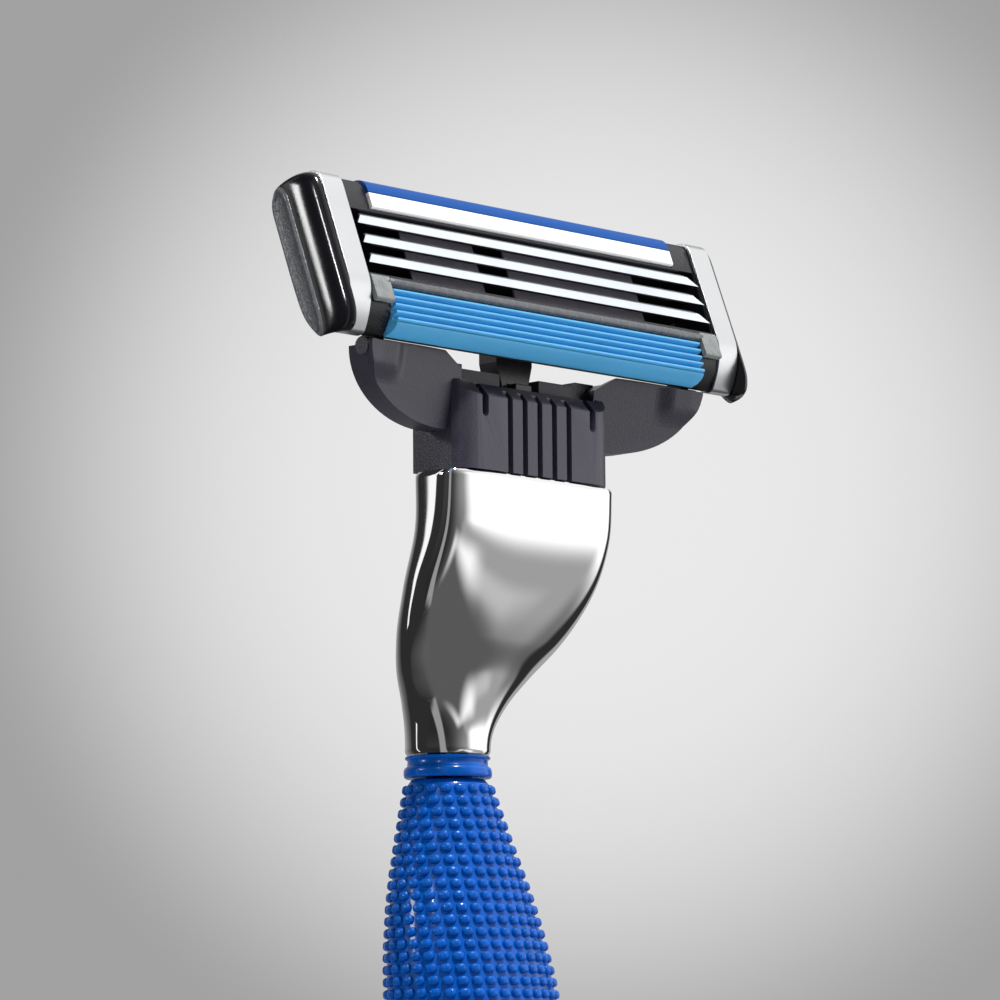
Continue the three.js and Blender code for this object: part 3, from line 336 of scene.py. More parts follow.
def cap_rings(turn):
    """The outline squeezed towards its back and its middle as a quarter ellipse turns outwards."""
    fall = 1 - np.cos(turn)[:, None]
    depth, height = cap_outline[None, :, 0], cap_outline[None, :, 1]
    squeeze = 1 - fall * (CAP_RIDGE_W / CAP_BACK_W)
    w = CAP_BACK_W - (CAP_BACK_W - depth) * squeeze
    v = CAP_MIDDLE_V + (height - CAP_MIDDLE_V) * (1 - CAP_SHRINK * fall)
    x = CAP_START + (CARTRIDGE_HALF - BAND_PROUD - CAP_START) * np.sin(turn)[:, None] + 0 * depth
    return np.stack([x, w, v], -1)


cap_pillow = cap_rings(np.linspace(0, np.pi / 2, CAP_ROWS))
ridge = cap_pillow[-1]
band_middle = (ridge.max(0) + ridge.min(0)) / 2
band_reach = (ridge.max(0) - ridge.min(0)) / 2 + (1, 0, 0)
band_rise = np.array([-0.04, 0.0, 0.09, 0.11, 0.11, 0.04, 0.03])[:, None, None]
band_inset = np.array([0.0, 0.0, 0.10, 0.16, 0.30, 0.42, 0.6])[:, None, None]
cap_band = band_middle + (ridge[None] - band_middle) * (1 - band_inset / band_reach * (0, 1, 1))
cap_band = cap_band + band_rise * (1, 0, 0)
for side, word in ((1, "right"), (-1, "left")):
    flip = np.array([side, 1, 1])
    make_piece("cap_pillow_" + word, from_cartridge(cap_pillow * flip), loft(cap_pillow), "cartridge",
               cap_plastic, sharp=50)
    make_piece("cap_band_" + word, from_cartridge(cap_band * flip), loft(cap_band), "cartridge",
               band_plastic, sharp=50)

# %% [markdown]
# ## The comb
# The soft comb under the blades stretches the skin. It is one strip of elastomer with five
# fins, each a rounded ridge with an undercut, above a smooth round foot.

# %% Comb
COMB_HALF, COMB_TOP = 15.2, -3.1
FIN_COUNT, FIN_PITCH, FIN_STEP_BACK = 5, 0.5, 0.075
FIRST_TIP_W, FIRST_TIP_DROP = 0.12, 0.1
fin_corners = np.array([(0.55, 0.02), (0, 0), (0.03, -0.17), (0.62, -0.30)])
fin_radii = (0.04, 0.06, 0.07, 0.06)
fin = np.arange(FIN_COUNT)
tips = np.stack([FIRST_TIP_W + FIN_STEP_BACK * fin, COMB_TOP - FIRST_TIP_DROP - fin * FIN_PITCH], -1)
fins = (tips[:, None] + fin_corners).reshape(-1, 2)
comb_corners = np.concatenate([
    [(1.15, COMB_TOP)], fins,
    [(0.50, -5.42), (0.86, -5.76), (1.5, -5.9), (2.12, -5.86), (2.12, -5.4), (1.15, -4.7)],
])
comb_radius = np.concatenate([[0.05], np.tile(fin_radii, FIN_COUNT), [0.3, 0.3, 0.3, 0.1, 0.2, 0.2]])
comb_outline = rounded(comb_corners, comb_radius, 4)
rings, faces = run_along_x(comb_outline, np.linspace(-COMB_HALF, COMB_HALF, 7))
make_piece("comb_fins", from_cartridge(rings), faces, "cartridge", comb_elastomer,
           ("comb_guard",), sharp=40, bevel=0.05)

# %% [markdown]
# ## The guard bar
# Between the comb and the lowest blade runs a round bar with a coarse spark-eroded grain.
# It is drawn a hair in front of the housing's own bar, with its ends rounded off.

# %% Guard bar
BAR_HALF, BAR_TAPER, BAR_END_SCALE = 15.75, 0.12, 0.55
bar_outline = rounded([(-0.02, -3.02), (-0.02, -2.42), (0.5, -2.36), (0.5, -3.06)],
                      (0.28, 0.28, 0.05, 0.05), 7)
bar_stations = np.array([-BAR_HALF, *np.linspace(BAR_TAPER - BAR_HALF, BAR_HALF - BAR_TAPER, 9), BAR_HALF])
rings, faces = run_along_x(bar_outline, bar_stations)
bar_middle = np.array([0, 0.2, -2.7])
rings[[0, -1]] = bar_middle + (rings[[0, -1]] - bar_middle) * (1, BAR_END_SCALE, BAR_END_SCALE)
make_piece("guard_bar", from_cartridge(rings), faces, "cartridge", band_plastic, sharp=50)

# %% [markdown]
# ## The comb's end blocks
# A rough pad fills the corner between the bar, the comb and each clip. Its grey is painted light: paler
# than the bar's plastic of the same grain, for the strong light that falls on the end blocks.

# %% End pads
PAD_SPAN, PAD_LOW, PAD_HIGH = (15.42, 17.1), -4.25, -2.36
PAD_FRONT, PAD_BACK = -0.01, 0.4
pad_corners = [(PAD_FRONT, PAD_LOW), (PAD_FRONT, PAD_HIGH), (PAD_BACK, PAD_HIGH), (PAD_BACK, PAD_LOW)]
pad_outline = rounded(pad_corners, (0.2, 0.2, 0.05, 0.05), 5)
for side, word in ((1, "right"), (-1, "left")):
    rings, faces = run_along_x(pad_outline, side * np.linspace(*PAD_SPAN, 3))
    make_piece("end_pad_" + word, from_cartridge(rings), faces, "cartridge", lit_pad_plastic,
               sharp=50, bevel=0.1)

# %% [markdown]
# ## The strip
# Above the blades lies the gliding strip: a white bar of porous polymer with a blue band
# along its top. Both are one outline carried along x, with every edge softly rounded.

# %% Gliding strip
STRIP_HALF = 14.97
strip_stations = np.linspace(-STRIP_HALF, STRIP_HALF, 9)
white_outline = rounded([(0.06, 3.04), (0.06, 4.19), (1.05, 4.19), (1.05, 3.04)],
                        (0.16, 0.06, 0.02, 0.02), 6)
rings, faces = run_along_x(white_outline, strip_stations)
make_piece("gliding_strip", from_cartridge(rings), faces, "cartridge", strip_white,
           ("lube_strip",), sharp=40, bevel=0.12)
blue_outline = rounded([(0.05, 4.22), (0.08, 4.85), (0.42, 5.32), (1.0, 5.6), (1.09, 5.3), (1.09, 4.22)],
                       (0.08, 0.3, 0.3, 0.1, 0.02, 0.02), 6)
rings, faces = run_along_x(blue_outline, strip_stations)
make_piece("gliding_band", from_cartridge(rings), faces, "cartridge", strip_blue,
           ("lube_band",), sharp=40, bevel=0.06)

# %% [markdown]
# ## The blades
# Each blade is a narrow strip of steel that slants into the cartridge, ground to an edge at
# its front and cut on a slant at its ends. The ground bevel is the narrow bright facet
# along the edge.

# %% Blades
BLADE_HALF, BLADE_SLANT = 16.92, 1.0
BLADE_RISE = 1.2
BLADE_EDGES = (-1.5, 0.0, 1.5)
blade_along = np.array([-1.0, -0.5, 0.0, 0.5, 1.0])
blade_section = np.array([(0.0, 0.0), (0.055, 0.2), (0.22, 0.80), (0.6, 1.2), (0.69, 1.155), (0.32, 0.74),
                          (0.16, 0.2), (0.06, 0.02)])
for number, edge in enumerate(BLADE_EDGES, 1):
    half = BLADE_HALF - BLADE_SLANT * blade_section[:, 1] / BLADE_RISE
    x = blade_along[:, None] * half[None]
    flat = np.broadcast_to(blade_section + (0, edge), (len(blade_along), *blade_section.shape))
    rings = np.concatenate([x[..., None], flat], -1)
    make_piece(f"blade_strip_{number}", from_cartridge(rings), loft(rings), f"blade_unit_{number}",
               blade_steel, (f"blade_{number}",), sharp=15)

# %% [markdown]
# ## Plates between the blades
# Behind the gap under each blade stands a grey plate in two lengths. Their grey is painted light: much
# paler than a grey plastic, so that the plates read lit deep in the shaded gaps. Between the two
# lengths the plate is left out where the ribs' shadow falls, so the black housing shows there as
# painted shade. The plates move with their blade.

# %% Plates in painted light, left out where the ribs' shadow falls
# Painted shade: the spans leave out x from -4.4 to -1.45, where the ribs' shadow falls, so the black
# housing shows there.
PLATE_SPANS_BESIDE_SHADE = ((-11.35, -4.4), (-1.45, 11.7))
plate_section = rounded([(1.56, -0.02), (1.56, 0.98), (1.7, 0.98), (1.7, -0.02)], 0.03, 3)
for number, edge in enumerate(BLADE_EDGES, 1):
    for span, word in zip(PLATE_SPANS_BESIDE_SHADE, ("left", "right")):
        rings, faces = run_along_x(plate_section + (0, edge), span)
        make_piece(f"lit_gap_plate_{number}_{word}", from_cartridge(rings), faces, f"blade_unit_{number}",
                   lit_plate_grey, sharp=50)

# %% [markdown]
# ## Moulded parts from the frame
# The housing, the yoke and the catch parts already have their exact shape in the frame, but
# with sharp edges. A copy is welded, its flat triangles are merged, and its edges are
# rounded, so that they look moulded.

# %% Softened copies of frame solids
FRAME_WELD = 2e-6
FLAT_WITHIN = math.radians(1.0)
CAP_OVERLAP = 0.02


def softened(node, name, body, made_of, bevel, sharp=30, keep_half=None):
    """Copies a frame solid, welds its triangles, merges flat ones and rounds its edges.
    With keep_half only what lies within that distance of the middle plane is kept."""
    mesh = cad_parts[node].data.copy()
    mesh.name = name
    work = bmesh.new()
    work.from_mesh(mesh)
    bmesh.ops.remove_doubles(work, verts=work.verts, dist=FRAME_WELD)
    if keep_half:
        for side in (1, -1):
            parts = bmesh.ops.bisect_plane(work, geom=work.verts[:] + work.edges[:] + work.faces[:],
                                           plane_co=(side * keep_half * MM, 0, 0), plane_no=(side, 0, 0),
                                           clear_outer=True)
            rim = [e for e in parts["geom_cut"] if isinstance(e, bmesh.types.BMEdge)]
            bmesh.ops.contextual_create(work, geom=rim)
    bmesh.ops.dissolve_limit(work, angle_limit=FLAT_WITHIN, verts=work.verts, edges=work.edges)
    work.to_mesh(mesh)
    work.free()
    return dress(name, mesh, body, made_of, (node,), sharp, bevel)


softened("cartridge_housing", "housing_shell", "cartridge", housing_plastic, 0.05,
         keep_half=CAP_START - CAP_OVERLAP)
softened("yoke", "yoke_shell", "yoke", yoke_plastic, 0.09)
softened("plunger", "plunger_tongue", "plunger", black_plastic, 0.08)
softened("release_button", "thumb_button", "release", yoke_plastic, 0.08)
softened("ejector", "ejector_fork", "release", black_plastic, 0.04)
softened("docking_chassis", "docking_tongue", "handle", black_plastic, 0.08)

# %% [markdown]
# ## Lips over the hinge knuckles
# The knuckles that the cartridge turns on are covered from the front by a thin lip at the top
# of each wing. The lip leaves the wing's face along a smooth step, v = 3t^2 - 2t^3, and it
# thickens at the tip, where it closes the side.

# %% Wing lips
LIP_START, LIP_END, LIP_TOP, LIP_FOOT = 12.4, 16.38, -6.42, -9.1
WING_X, WING_Z, WING_REACH, WING_DROP = 8.33, -6.25, 8.08, 5.12
WING_FACE, WING_SWEEP, WING_LEAN = 0.564, -0.085, -0.16
LIP_LIFT, LIP_STEP, LIP_FULL_Z = 0.46, 1.5, -7.7
LIP_SHEET, TIP_EXTRA, TIP_START, TIP_FULL = 0.17, 0.35, 15.5, 15.66


def ease(value, start, end):
    """0 before start and 1 after end, with 3t^2 - 2t^3 in between."""
    t = np.clip((value - start) / (end - start), 0, 1)
    return t * t * (3 - 2 * t)


lip_x = np.linspace(LIP_START, LIP_END, 30)[:, None]
wing_foot = WING_Z - WING_DROP * np.sqrt(1 - ((lip_x - WING_X) / WING_REACH) ** 2)
lip_z = LIP_TOP + (np.maximum(LIP_FOOT, wing_foot) - LIP_TOP) * np.linspace(0, 1, 14)
lip_lift = LIP_LIFT * ease(lip_x, LIP_START, LIP_START + LIP_STEP) * ease(lip_z, LIP_FOOT, LIP_FULL_Z)
lip_front = WING_FACE + WING_SWEEP * lip_x + WING_LEAN * lip_z - lip_lift
lip_back = lip_front + LIP_SHEET + TIP_EXTRA * ease(lip_x, TIP_START, TIP_FULL)
lip_width = np.broadcast_to(lip_x, lip_z.shape)
lip_rings = np.concatenate([np.stack([lip_width, lip_front, lip_z], -1),
                            np.stack([lip_width, lip_back, lip_z], -1)[:, ::-1]], 1)
for side, word in ((1, "right"), (-1, "left")):
    make_piece("wing_lip_" + word, from_head(lip_rings * (side, 1, 1)), loft(lip_rings), "yoke",
               yoke_plastic, sharp=50, bevel=0.03)

# %% [markdown]
# ## The handle's outline
# The handle is one long shape that swings back and forward as it goes down. At a few
# depths we know its centre, half width, half depth and how square it is; a smooth curve
# through those gives every ring in between. Each ring is a superellipse: the cosine and
# sine of a circle, each raised to a power that makes the oval squarer.

# %% Rings of the handle
# Each station: depth below the head, centre, half width, half depth and squareness.
stations = np.array([
    (14.0, 2.6, 8.25, 2.43, 5), (18.0, 2.85, 8.3, 2.5, 4), (22.0, 4.47, 8.15, 2.8, 2.8),
    (25.0, 6.3, 7.15, 2.92, 2.3), (27.2, 7.8, 5.75, 2.88, 2.05), (29.2, 8.7, 4.25, 2.85, 2),
    (31.3, 9.25, 3.2, 2.85, 2), (33.0, 9.35, 3.02, 2.95, 2), (38.0, 8.9, 4.3, 3.75, 2),
    (42.0, 8.3, 5.5, 4.35, 2.1), (47.0, 7.5, 6.4, 4.95, 2.2), (58.0, 6.1, 6.6, 5.4, 2.2),
    (75.0, 5.2, 6.1, 5.3, 2.2), (99.0, 5.9, 5.3, 4.7, 2.2), (122.0, 7.6, 5.4, 4.5, 2.2),
    (137.0, 9.1, 5.5, 4.2, 2.2), (143.0, 9.6, 4.6, 3.4, 2.2),
])


def station_curve(depth):
    """A cubic through the stations: slopes are the mean of the two chords, weighted by length."""
    known, values = stations[:, 0], stations[:, 1:]
    gap = np.diff(known)[:, None]
    chord = np.diff(values, axis=0) / gap
    slope = np.empty_like(values)
    slope[1:-1] = (chord[:-1] * gap[1:] + chord[1:] * gap[:-1]) / (gap[1:] + gap[:-1])
    slope[0], slope[-1] = chord[0], chord[-1]
    depth = np.clip(depth, known[0], known[-1])
    i = np.clip(np.searchsorted(known, depth, side="right") - 1, 0, len(known) - 2)
    h = gap[i]
    t = ((depth - known[i]) / h[:, 0])[:, None]
    return ((2 * t**3 - 3 * t**2 + 1) * values[i] + (t**3 - 2 * t**2 + t) * h * slope[i]
            + (3 * t**2 - 2 * t**3) * values[i + 1] + (t**3 - t**2) * h * slope[i + 1])


def ring_angles(sides):
    """Evenly spaced angles round a ring, the first of them half a step past the front."""
    return 2 * np.pi * (np.arange(sides) + 0.5) / sides - np.pi / 2


def handle_rings(z, offset=0.0, sides=96):
    """Superellipse rings at each height z (negative down), grown by offset."""
    z = np.atleast_1d(np.asarray(z, float))
    centre, half_width, half_depth, square = (c[:, None] for c in station_curve(-z).T)
    grow = np.broadcast_to(np.asarray(offset, float), z.shape)[:, None]
    power = 2 / square
    c, s = np.cos(ring_angles(sides))[None], np.sin(ring_angles(sides))[None]
    x = (half_width + grow) * np.sign(c) * np.abs(c) ** power
    y = centre + (half_depth + grow) * np.sign(s) * np.abs(s) ** power
    return np.stack([x, y, np.broadcast_to(z[:, None], x.shape)], -1)


# %% [markdown]
# ## The chromed neck
# The neck is a zinc casting under mirror chrome. It starts as wide and flat as the yoke,
# swings back and narrows to a waist. Its top has a pocket for the docking tongue, so the
# rings go over the top edge, inwards and down into the pocket.

# %% Neck
NECK_TOP, NECK_FOOT = -14.14, -32.6
POCKET_HALF, POCKET_FRONT, POCKET_BACK, POCKET_FLOOR = 5.2, 1.24, 4.41, -18.8
NECK_ROWS, NECK_SIDES = 90, 128
NECK_ROUND, NECK_ROUND_HEIGHT = 0.12, 0.18
POCKET_SPREAD = 1.3
neck_z = np.linspace(NECK_FOOT, NECK_TOP, NECK_ROWS)
from_rim = np.minimum(neck_z - NECK_FOOT, NECK_TOP - neck_z)
rim_round = -NECK_ROUND * np.clip(1 - from_rim / NECK_ROUND_HEIGHT, 0, 1) ** 2
outer = handle_rings(neck_z, rim_round, NECK_SIDES)
around = ring_angles(NECK_SIDES)
reach = 1 / np.maximum(np.abs(np.cos(around)), np.abs(np.sin(around)))
pocket_x = np.clip(POCKET_SPREAD * reach * np.cos(around), -1, 1) * POCKET_HALF
pocket_y = (POCKET_FRONT + POCKET_BACK) / 2 + np.clip(reach * np.sin(around), -1, 1) * (
    POCKET_BACK - POCKET_FRONT) / 2
pocket = [np.stack([pocket_x, pocket_y, np.full(NECK_SIDES, z)], -1) for z in (NECK_TOP, POCKET_FLOOR)]
neck_rings = np.concatenate([outer, np.stack(pocket)])
make_piece("neck_casting", from_head(neck_rings), loft(neck_rings), "handle", neck_chrome,
           ("neck",), sharp=40)

# %% [markdown]
# ## The grip
# A blue elastomer is moulded over the handle's core. It begins with a collar: a thin lip, a
# plain band and a bead. Below it the surface carries rows of small nubs for a wet hand. The
# skin between the nubs is sunk, so that the nubs end just under the handle's outline.

# %% Collar and skin
SLEEVE_TOP, SLEEVE_FOOT = -34.3, -99.0
SKIN_SINK, SKIN_ROUND, SKIN_ROUND_HEIGHT = 0.34, 0.25, 0.3
SKIN_ROWS = 160
collar_steps = np.array([
    (-34.2, -0.60), (-34.2, -0.16), (-34.12, -0.06), (-33.95, 0.0), (-33.72, 0.02), (-33.52, -0.02),
    (-33.42, -0.14), (-33.36, -0.20), (-32.98, -0.20), (-32.92, -0.10), (-32.86, -0.02), (-32.74, -0.02),
    (-32.70, -0.10), (-32.70, -0.60),
])
collar_rings = handle_rings(collar_steps[:, 0], collar_steps[:, 1])
make_piece("collar_band", from_head(collar_rings), loft(collar_rings), "handle",
           grip_elastomer, ("grip_collar",), sharp=60)
skin_z = np.linspace(SLEEVE_FOOT, SLEEVE_TOP, SKIN_ROWS)
from_edge = np.minimum(skin_z - SLEEVE_FOOT, SLEEVE_TOP - skin_z)
skin_offset = -SKIN_SINK - SKIN_ROUND * np.clip(1 - from_edge / SKIN_ROUND_HEIGHT, 0, 1) ** 2
skin_rings = handle_rings(skin_z, skin_offset)
make_piece("grip_skin", from_head(skin_rings), loft(skin_rings), "handle", grip_elastomer,
           ("grip_sleeve",), sharp=60)

# %% [markdown]
# ## The nubs
# The nubs stand in level rows, one pitch apart along the outline, with the first ones half a
# pitch from the middle of the front. One nub is a small pillow of a few dozen faces. It is
# copied to every place by adding arrays: the place plus the pillow's own width, height and
# lift along the three local directions.

# %% Nubs
ROW_PITCH, NUB_PITCH = 0.83, 1.0
NUB_WIDE, NUB_TALL, NUB_LIFT = 0.41, 0.33, 0.31
NUB_SIDES = 12
FIRST_ROW_DROP, LAST_ROW_GAP, BACK_SEAM_GAP = 0.75, 0.6, 0.2
FINE_SIDES, SLOPE_STEP = 720, 1e-3


def nub_places():
    """Places one pitch of arc length apart on each side, with their out and up directions."""
    rows = np.arange(SLEEVE_TOP - FIRST_ROW_DROP, SLEEVE_FOOT + LAST_ROW_GAP, -ROW_PITCH)
    rings = handle_rings(rows, -SKIN_SINK, FINE_SIDES)
    lower = handle_rings(rows - SLOPE_STEP, -SKIN_SINK, FINE_SIDES)
    right = np.arange(0, FINE_SIDES // 2)
    flip = np.array([-1, 1, 1])
    places, outs, ups = [], [], []
    for ring, below in zip(rings, lower):
        length = np.concatenate([[0], np.cumsum(np.linalg.norm(np.diff(ring[right], axis=0), axis=1))])
        marks = np.arange(0.5 * NUB_PITCH, length[-1] - BACK_SEAM_GAP, NUB_PITCH)
        at = np.interp(marks, length, right)
        low = np.floor(at).astype(int)
        share = (at - low)[:, None]
        place = ring[low] * (1 - share) + ring[low + 1] * share
        along = ring[low + 1] - ring[low]
        up = (ring - below)[low]
        out = np.cross(along, up)
        out /= np.linalg.norm(out, axis=1, keepdims=True)
        up /= np.linalg.norm(up, axis=1, keepdims=True)
        places += [place, place * flip]
        outs += [out, out * flip]
        ups += [up, up * flip]
    return np.concatenate(places), np.concatenate(outs), np.concatenate(ups)


def nub_pillow():
    """Points and quads of a squarish dome: a crown point, then rings that widen to the foot.
    Each ring is cos and sin of an angle raised to 0.7, which makes the circle squarer."""
    profile = np.array([(0.0, 1.0), (0.45, 0.97), (0.75, 0.80), (0.92, 0.48), (1.0, 0.0), (1.0, -0.3)])
    angle = 2 * np.pi * np.arange(NUB_SIDES) / NUB_SIDES
    c, s = np.cos(angle), np.sin(angle)
    sx, sy = np.sign(c) * np.abs(c) ** 0.7, np.sign(s) * np.abs(s) ** 0.7
    x = profile[1:, 0, None] * sx
    y = profile[1:, 0, None] * sy
    h = np.broadcast_to(profile[1:, 1, None], x.shape)
    points = np.concatenate([[(0, 0, 1.0)], np.stack([x, y, h], -1).reshape(-1, 3)])
    return points, grid_faces(len(profile) - 1, NUB_SIDES, True) + 1


places, outs, ups = nub_places()
sideways = np.cross(ups, outs)
nub, nub_quads = nub_pillow()
nub_x, nub_y, nub_h = (nub[None, :, i:i + 1] for i in range(3))
nubs = (places[:, None] + sideways[:, None] * (nub_x * NUB_WIDE)
        + ups[:, None] * (nub_y * NUB_TALL) + outs[:, None] * (nub_h * NUB_LIFT))
first = np.arange(len(places))[:, None, None] * len(nub)
quads = (nub_quads[None] + first).reshape(-1, 4).tolist()
spokes = np.arange(NUB_SIDES)
crown = np.stack([np.zeros_like(spokes), spokes + 1, (spokes + 1) % NUB_SIDES + 1], -1)
crowns = (crown[None] + first).reshape(-1, 3).tolist()
foot = np.arange(len(nub) - NUB_SIDES, len(nub))[::-1]
feet = (foot[None] + first[:, 0]).tolist()
print("nubs:", len(places))
make_piece("grip_nubs", from_head(nubs), quads + crowns + feet, "handle", grip_elastomer,
           sharp=80)

# %% [markdown]
# ## The tail
# Below the grip the handle ends in a chromed tail, closed by a blue cap. Both follow the
# same outline, with their rims rounded over.

# %% Tail and end cap
HANDLE_FOOT, CAP_SEAM, SEAM_GAP, TAIL_TOP = -143.0, -141.0, 0.05, -99.1
RIM_ROWS = 7


def barrel(name, low, high, made_of, replaces, rim, rows=60):
    """Rings of the outline between two heights, whose rims pull in along a quarter circle."""
    turn = np.linspace(0, np.pi / 2, RIM_ROWS)
    z = np.concatenate([low + rim * (1 - np.cos(turn)), np.linspace(low + rim, high - rim, rows)[1:-1],
                        (high - rim * (1 - np.cos(turn)))[::-1]])
    near = np.minimum(z - low, high - z)
    pull = -rim * (1 - np.sqrt(np.clip(1 - np.clip(1 - near / rim, 0, 1) ** 2, 0, 1)))
    rings = handle_rings(z, pull)
    return make_piece(name, from_head(rings), loft(rings), "handle", made_of, replaces, sharp=50)


barrel("tail_shell", CAP_SEAM, TAIL_TOP, neck_chrome, ("tail",), rim=0.25)
barrel("end_cap_cover", HANDLE_FOOT, CAP_SEAM - SEAM_GAP, grip_elastomer, ("end_cap",),
       rim=0.45, rows=14)

# %% [markdown]
# ## Hidden parts
# The supports, the springs, the core and the weight keep their frame solids and only need
# their finish.

# %% Finishes on frame solids
for node, made_of in {
    "blade_support_1": support_steel, "blade_support_2": support_steel, "blade_support_3": support_steel,
    "plunger_spring": spring_steel, "button_spring": spring_steel, "handle_core": black_plastic,
    "balance_weight": weight_steel,
}.items():
    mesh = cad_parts[node].data
    mesh.materials.clear()
    mesh.materials.append(made_of)
    print(node, "is", made_of.name)

# %% [markdown]
# ## Floor, light and camera
# Chrome shows nothing but its surroundings, so the surroundings are designed: bright panels
# beside, above and below the razor, and dark flags that draw the edges. They are painted on
# the sky with soft edges. The floor is left out of mirror reflections, because its rim would
# show in the neck as a hard line.

# %% Floor
FLOOR_RADIUS, FLOOR_HEIGHT, FLOOR_SIDES = 0.3, -0.0004, 96
floor_angle = 2 * np.pi * np.arange(FLOOR_SIDES) / FLOOR_SIDES
floor_points = np.stack([FLOOR_RADIUS * np.cos(floor_angle), FLOOR_RADIUS * np.sin(floor_angle),
                         np.full(FLOOR_SIDES, FLOOR_HEIGHT)], -1)
floor_mesh = bpy.data.meshes.new("floor")
floor_mesh.from_pydata(floor_points.tolist(), [], [list(range(FLOOR_SIDES))])
floor = bpy.data.objects.new("floor", floor_mesh)
bpy.context.scene.collection.objects.link(floor)
pale_floor = finish("pale_floor", (0.72, 0.72, 0.72), 0.6, patch_mm=60, grain_mm=2, grain_um=20)
floor_mesh.materials.append(pale_floor)
floor.visible_glossy = False

# %% Sky
world = bpy.data.worlds.new("studio")
bpy.context.scene.world = world
world.use_nodes = True
sky = world.node_tree
sky.nodes.clear()
look = sky.nodes.new("ShaderNodeTexCoord")


def along(axis):
    """How far the looking direction points along an axis, from -1 to 1."""
    node = sky.nodes.new("ShaderNodeVectorMath")
    node.operation = "DOT_PRODUCT"
    node.inputs[1].default_value = tuple(axis)
    sky.links.new(look.outputs["Generated"], node.inputs[0])
    return node.outputs["Value"]


def ramp(value, start, end, low=0.0, high=1.0):
    """Rises smoothly from low to high as value goes from start to end."""
    node = sky.nodes.new("ShaderNodeMapRange")
    node.interpolation_type = "SMOOTHSTEP"
    for socket, number in zip(("From Min", "From Max", "To Min", "To Max"), (start, end, low, high)):
        node.inputs[socket].default_value = number
    sky.links.new(value, node.inputs["Value"])
    return node.outputs["Result"]


def math_node(operation, a, b):
    """One arithmetic node between two values."""
    node = sky.nodes.new("ShaderNodeMath")
    node.operation = operation
    for socket, value in zip(node.inputs, (a, b)):
        if isinstance(value, (int, float)):
            socket.default_value = value
        else:
            sky.links.new(value, socket)
    return node.outputs[0]


def mixed(base, value, share):
    """base + share * (value - base)."""
    return math_node("ADD", base, math_node("MULTIPLY", share, math_node("SUBTRACT", value, base)))


def direction(yaw, pitch):
    """Yaw 0 looks along +Y and 90 along +X; pitch is above the horizon, in degrees."""
    yaw, pitch = math.radians(yaw), math.radians(pitch)
    return Vector((math.sin(yaw) * math.cos(pitch), math.cos(yaw) * math.cos(pitch), math.sin(pitch)))


def look_axes(yaw, pitch):
    """Right, up and ahead of someone who looks in a direction with a level head."""
    ahead = direction(yaw, pitch)
    right = Vector((math.cos(math.radians(yaw)), -math.sin(math.radians(yaw)), 0))
    return right, right.cross(ahead), ahead


# %% Panels on the sky
STEEPEST, FRONT_FADE = 89, 0.15


def panel(yaw, pitch, half_width, half_height, soft):
    """1 inside a rectangle of sky, fading to 0 over soft degrees past its sides."""
    right, up, ahead = look_axes(yaw, pitch)
    masks = []
    for axis, half in ((right, half_width), (up, half_height)):
        off_centre = math_node("ABSOLUTE", along(axis), 0.0)
        outside = math.sin(math.radians(min(STEEPEST, half + soft)))
        masks.append(ramp(off_centre, outside, math.sin(math.radians(half))))
    front = ramp(along(ahead), 0.0, FRONT_FADE)
    return math_node("MULTIPLY", math_node("MULTIPLY", masks[0], masks[1]), front)


light = ramp(along((0, 0, 1)), -0.6, 0.9, 0.22, 0.70)
light = math_node("MULTIPLY", light, ramp(along((1, 0, 0)), -0.6, 0.5, 0.12, 1.0))
# Each panel: yaw, pitch, half width, half height and softness in degrees, then its value.
PANELS = (
    (126, 7, 24, 12, 20, 1.45),
    (88, 50, 34, 20, 14, 1.15),
    (140, -28, 22, 8, 12, 0.42),
    (142, -33, 12, 2, 7, 0.62),
    (165, -40, 12, 10, 12, 1.2),
    (135, -62, 30, 16, 14, 0.12),
    (66, 0, 9, 46, 7, 0.42),
    (84, -14, 6, 30, 6, 0.03),
    (232, 0, 6, 60, 4, 0.36),
    (-52, 0, 26, 60, 8, 0.03),
    (-46, 8, 1.5, 40, 1, 1.2),
)
for *place, value in PANELS:
    light = mixed(light, value, panel(*place))
print("panels on the sky:", len(PANELS))

# %% Backdrop
VIEW_YAW, VIEW_PITCH, VIEW_ROLL = 45.74, 7.92, -0.46
BACKDROP_TURN, BACKDROP_RISE = 1.0, 0.2
spot = along(direction(VIEW_YAW + BACKDROP_TURN, VIEW_PITCH + BACKDROP_RISE))


def disc(light, value, outside, inside):
    """Mixes in a value round the spot: not at all outside degrees away, wholly inside degrees away."""
    return mixed(light, value, ramp(spot, math.cos(math.radians(outside)), math.cos(math.radians(inside))))


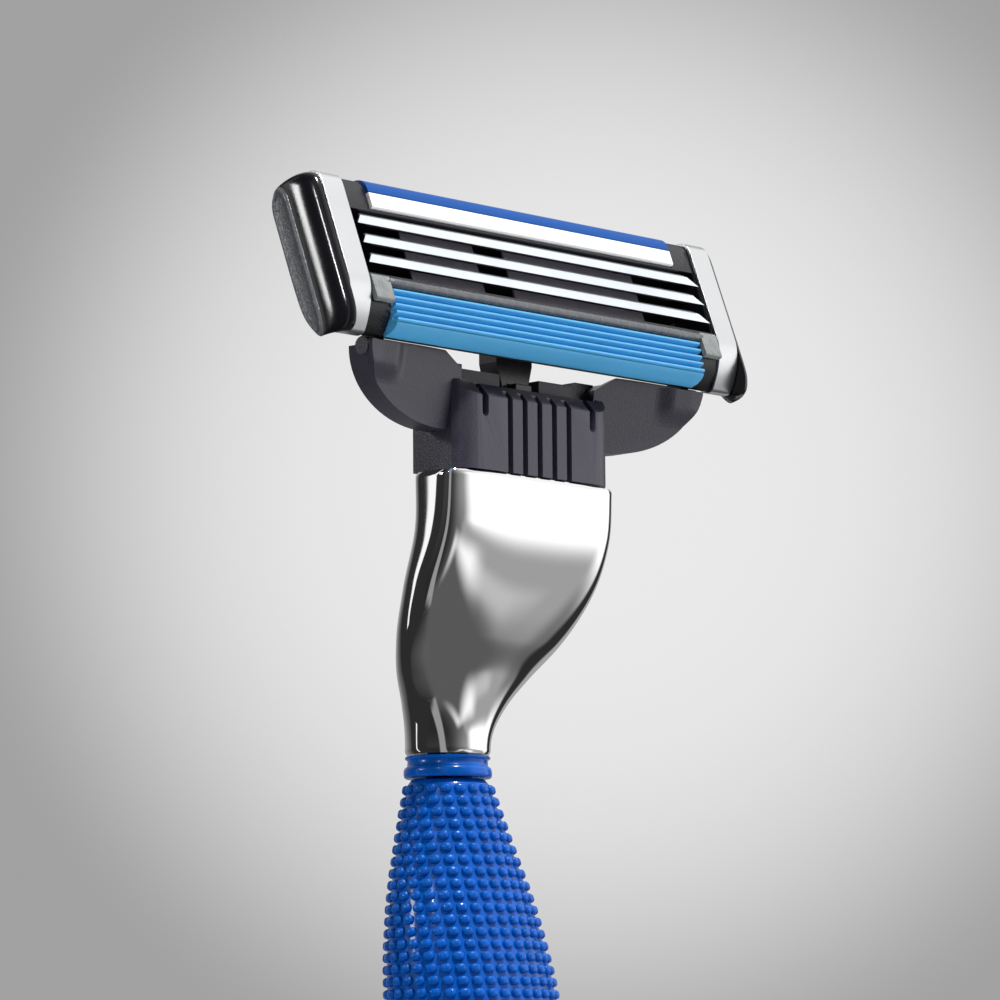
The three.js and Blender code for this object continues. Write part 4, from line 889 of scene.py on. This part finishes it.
light = disc(light, 0.36, 22, 9)
light = disc(light, 0.82, 8.2, 0.5)
glow = sky.nodes.new("ShaderNodeBackground")
sky.links.new(light, glow.inputs["Color"])
world_output = sky.nodes.new("ShaderNodeOutputWorld")
sky.links.new(glow.outputs[0], world_output.inputs["Surface"])
print("nodes of the sky:", len(sky.nodes))


# %% Lamps
LAMP_TARGET, LAMP_DISTANCE = Vector((0, -0.005, 0.13)), 0.9


def lamp(name, yaw, pitch, size, watts):
    """A square area lamp that looks at the cartridge from a direction."""
    data = bpy.data.lights.new(name, "AREA")
    data.size = size
    data.energy = watts
    made = bpy.data.objects.new(name, data)
    bpy.context.scene.collection.objects.link(made)
    back = direction(yaw, pitch)
    made.location = LAMP_TARGET + back * LAMP_DISTANCE
    made.rotation_mode = "QUATERNION"
    made.rotation_quaternion = back.to_track_quat("Z", "Y")
    print(f"{name}: {watts} W from yaw {yaw}, pitch {pitch}")


lamp("key_lamp", 186, 64, size=0.10, watts=11.0)
lamp("glint_lamp", 250, 34, size=0.05, watts=0.8)
lamp("edge_lamp", -60, 20, size=0.15, watts=1.5)

# %% Camera
CAMERA_PLACE = Vector((-0.22039, -0.22029, 0.08494))
camera_data = bpy.data.cameras.new("camera")
camera_data.lens = 162.0
camera_data.sensor_width = 36.0
camera_data.clip_start, camera_data.clip_end = 0.01, 10.0
camera = bpy.data.objects.new("camera", camera_data)
bpy.context.scene.collection.objects.link(camera)
right, up, ahead = look_axes(VIEW_YAW, VIEW_PITCH)
roll = math.radians(VIEW_ROLL)
axis_x = right * math.cos(roll) + up * math.sin(roll)
axis_y = up * math.cos(roll) - right * math.sin(roll)
camera.matrix_world = Matrix((
    (axis_x.x, axis_y.x, -ahead.x, CAMERA_PLACE.x),
    (axis_x.y, axis_y.y, -ahead.y, CAMERA_PLACE.y),
    (axis_x.z, axis_y.z, -ahead.z, CAMERA_PLACE.z),
    (0, 0, 0, 1),
))
bpy.context.scene.camera = camera
bpy.context.scene.view_settings.view_transform = "Standard"
print("camera:", camera_data.lens, "mm lens at", [round(c, 5) for c in CAMERA_PLACE])
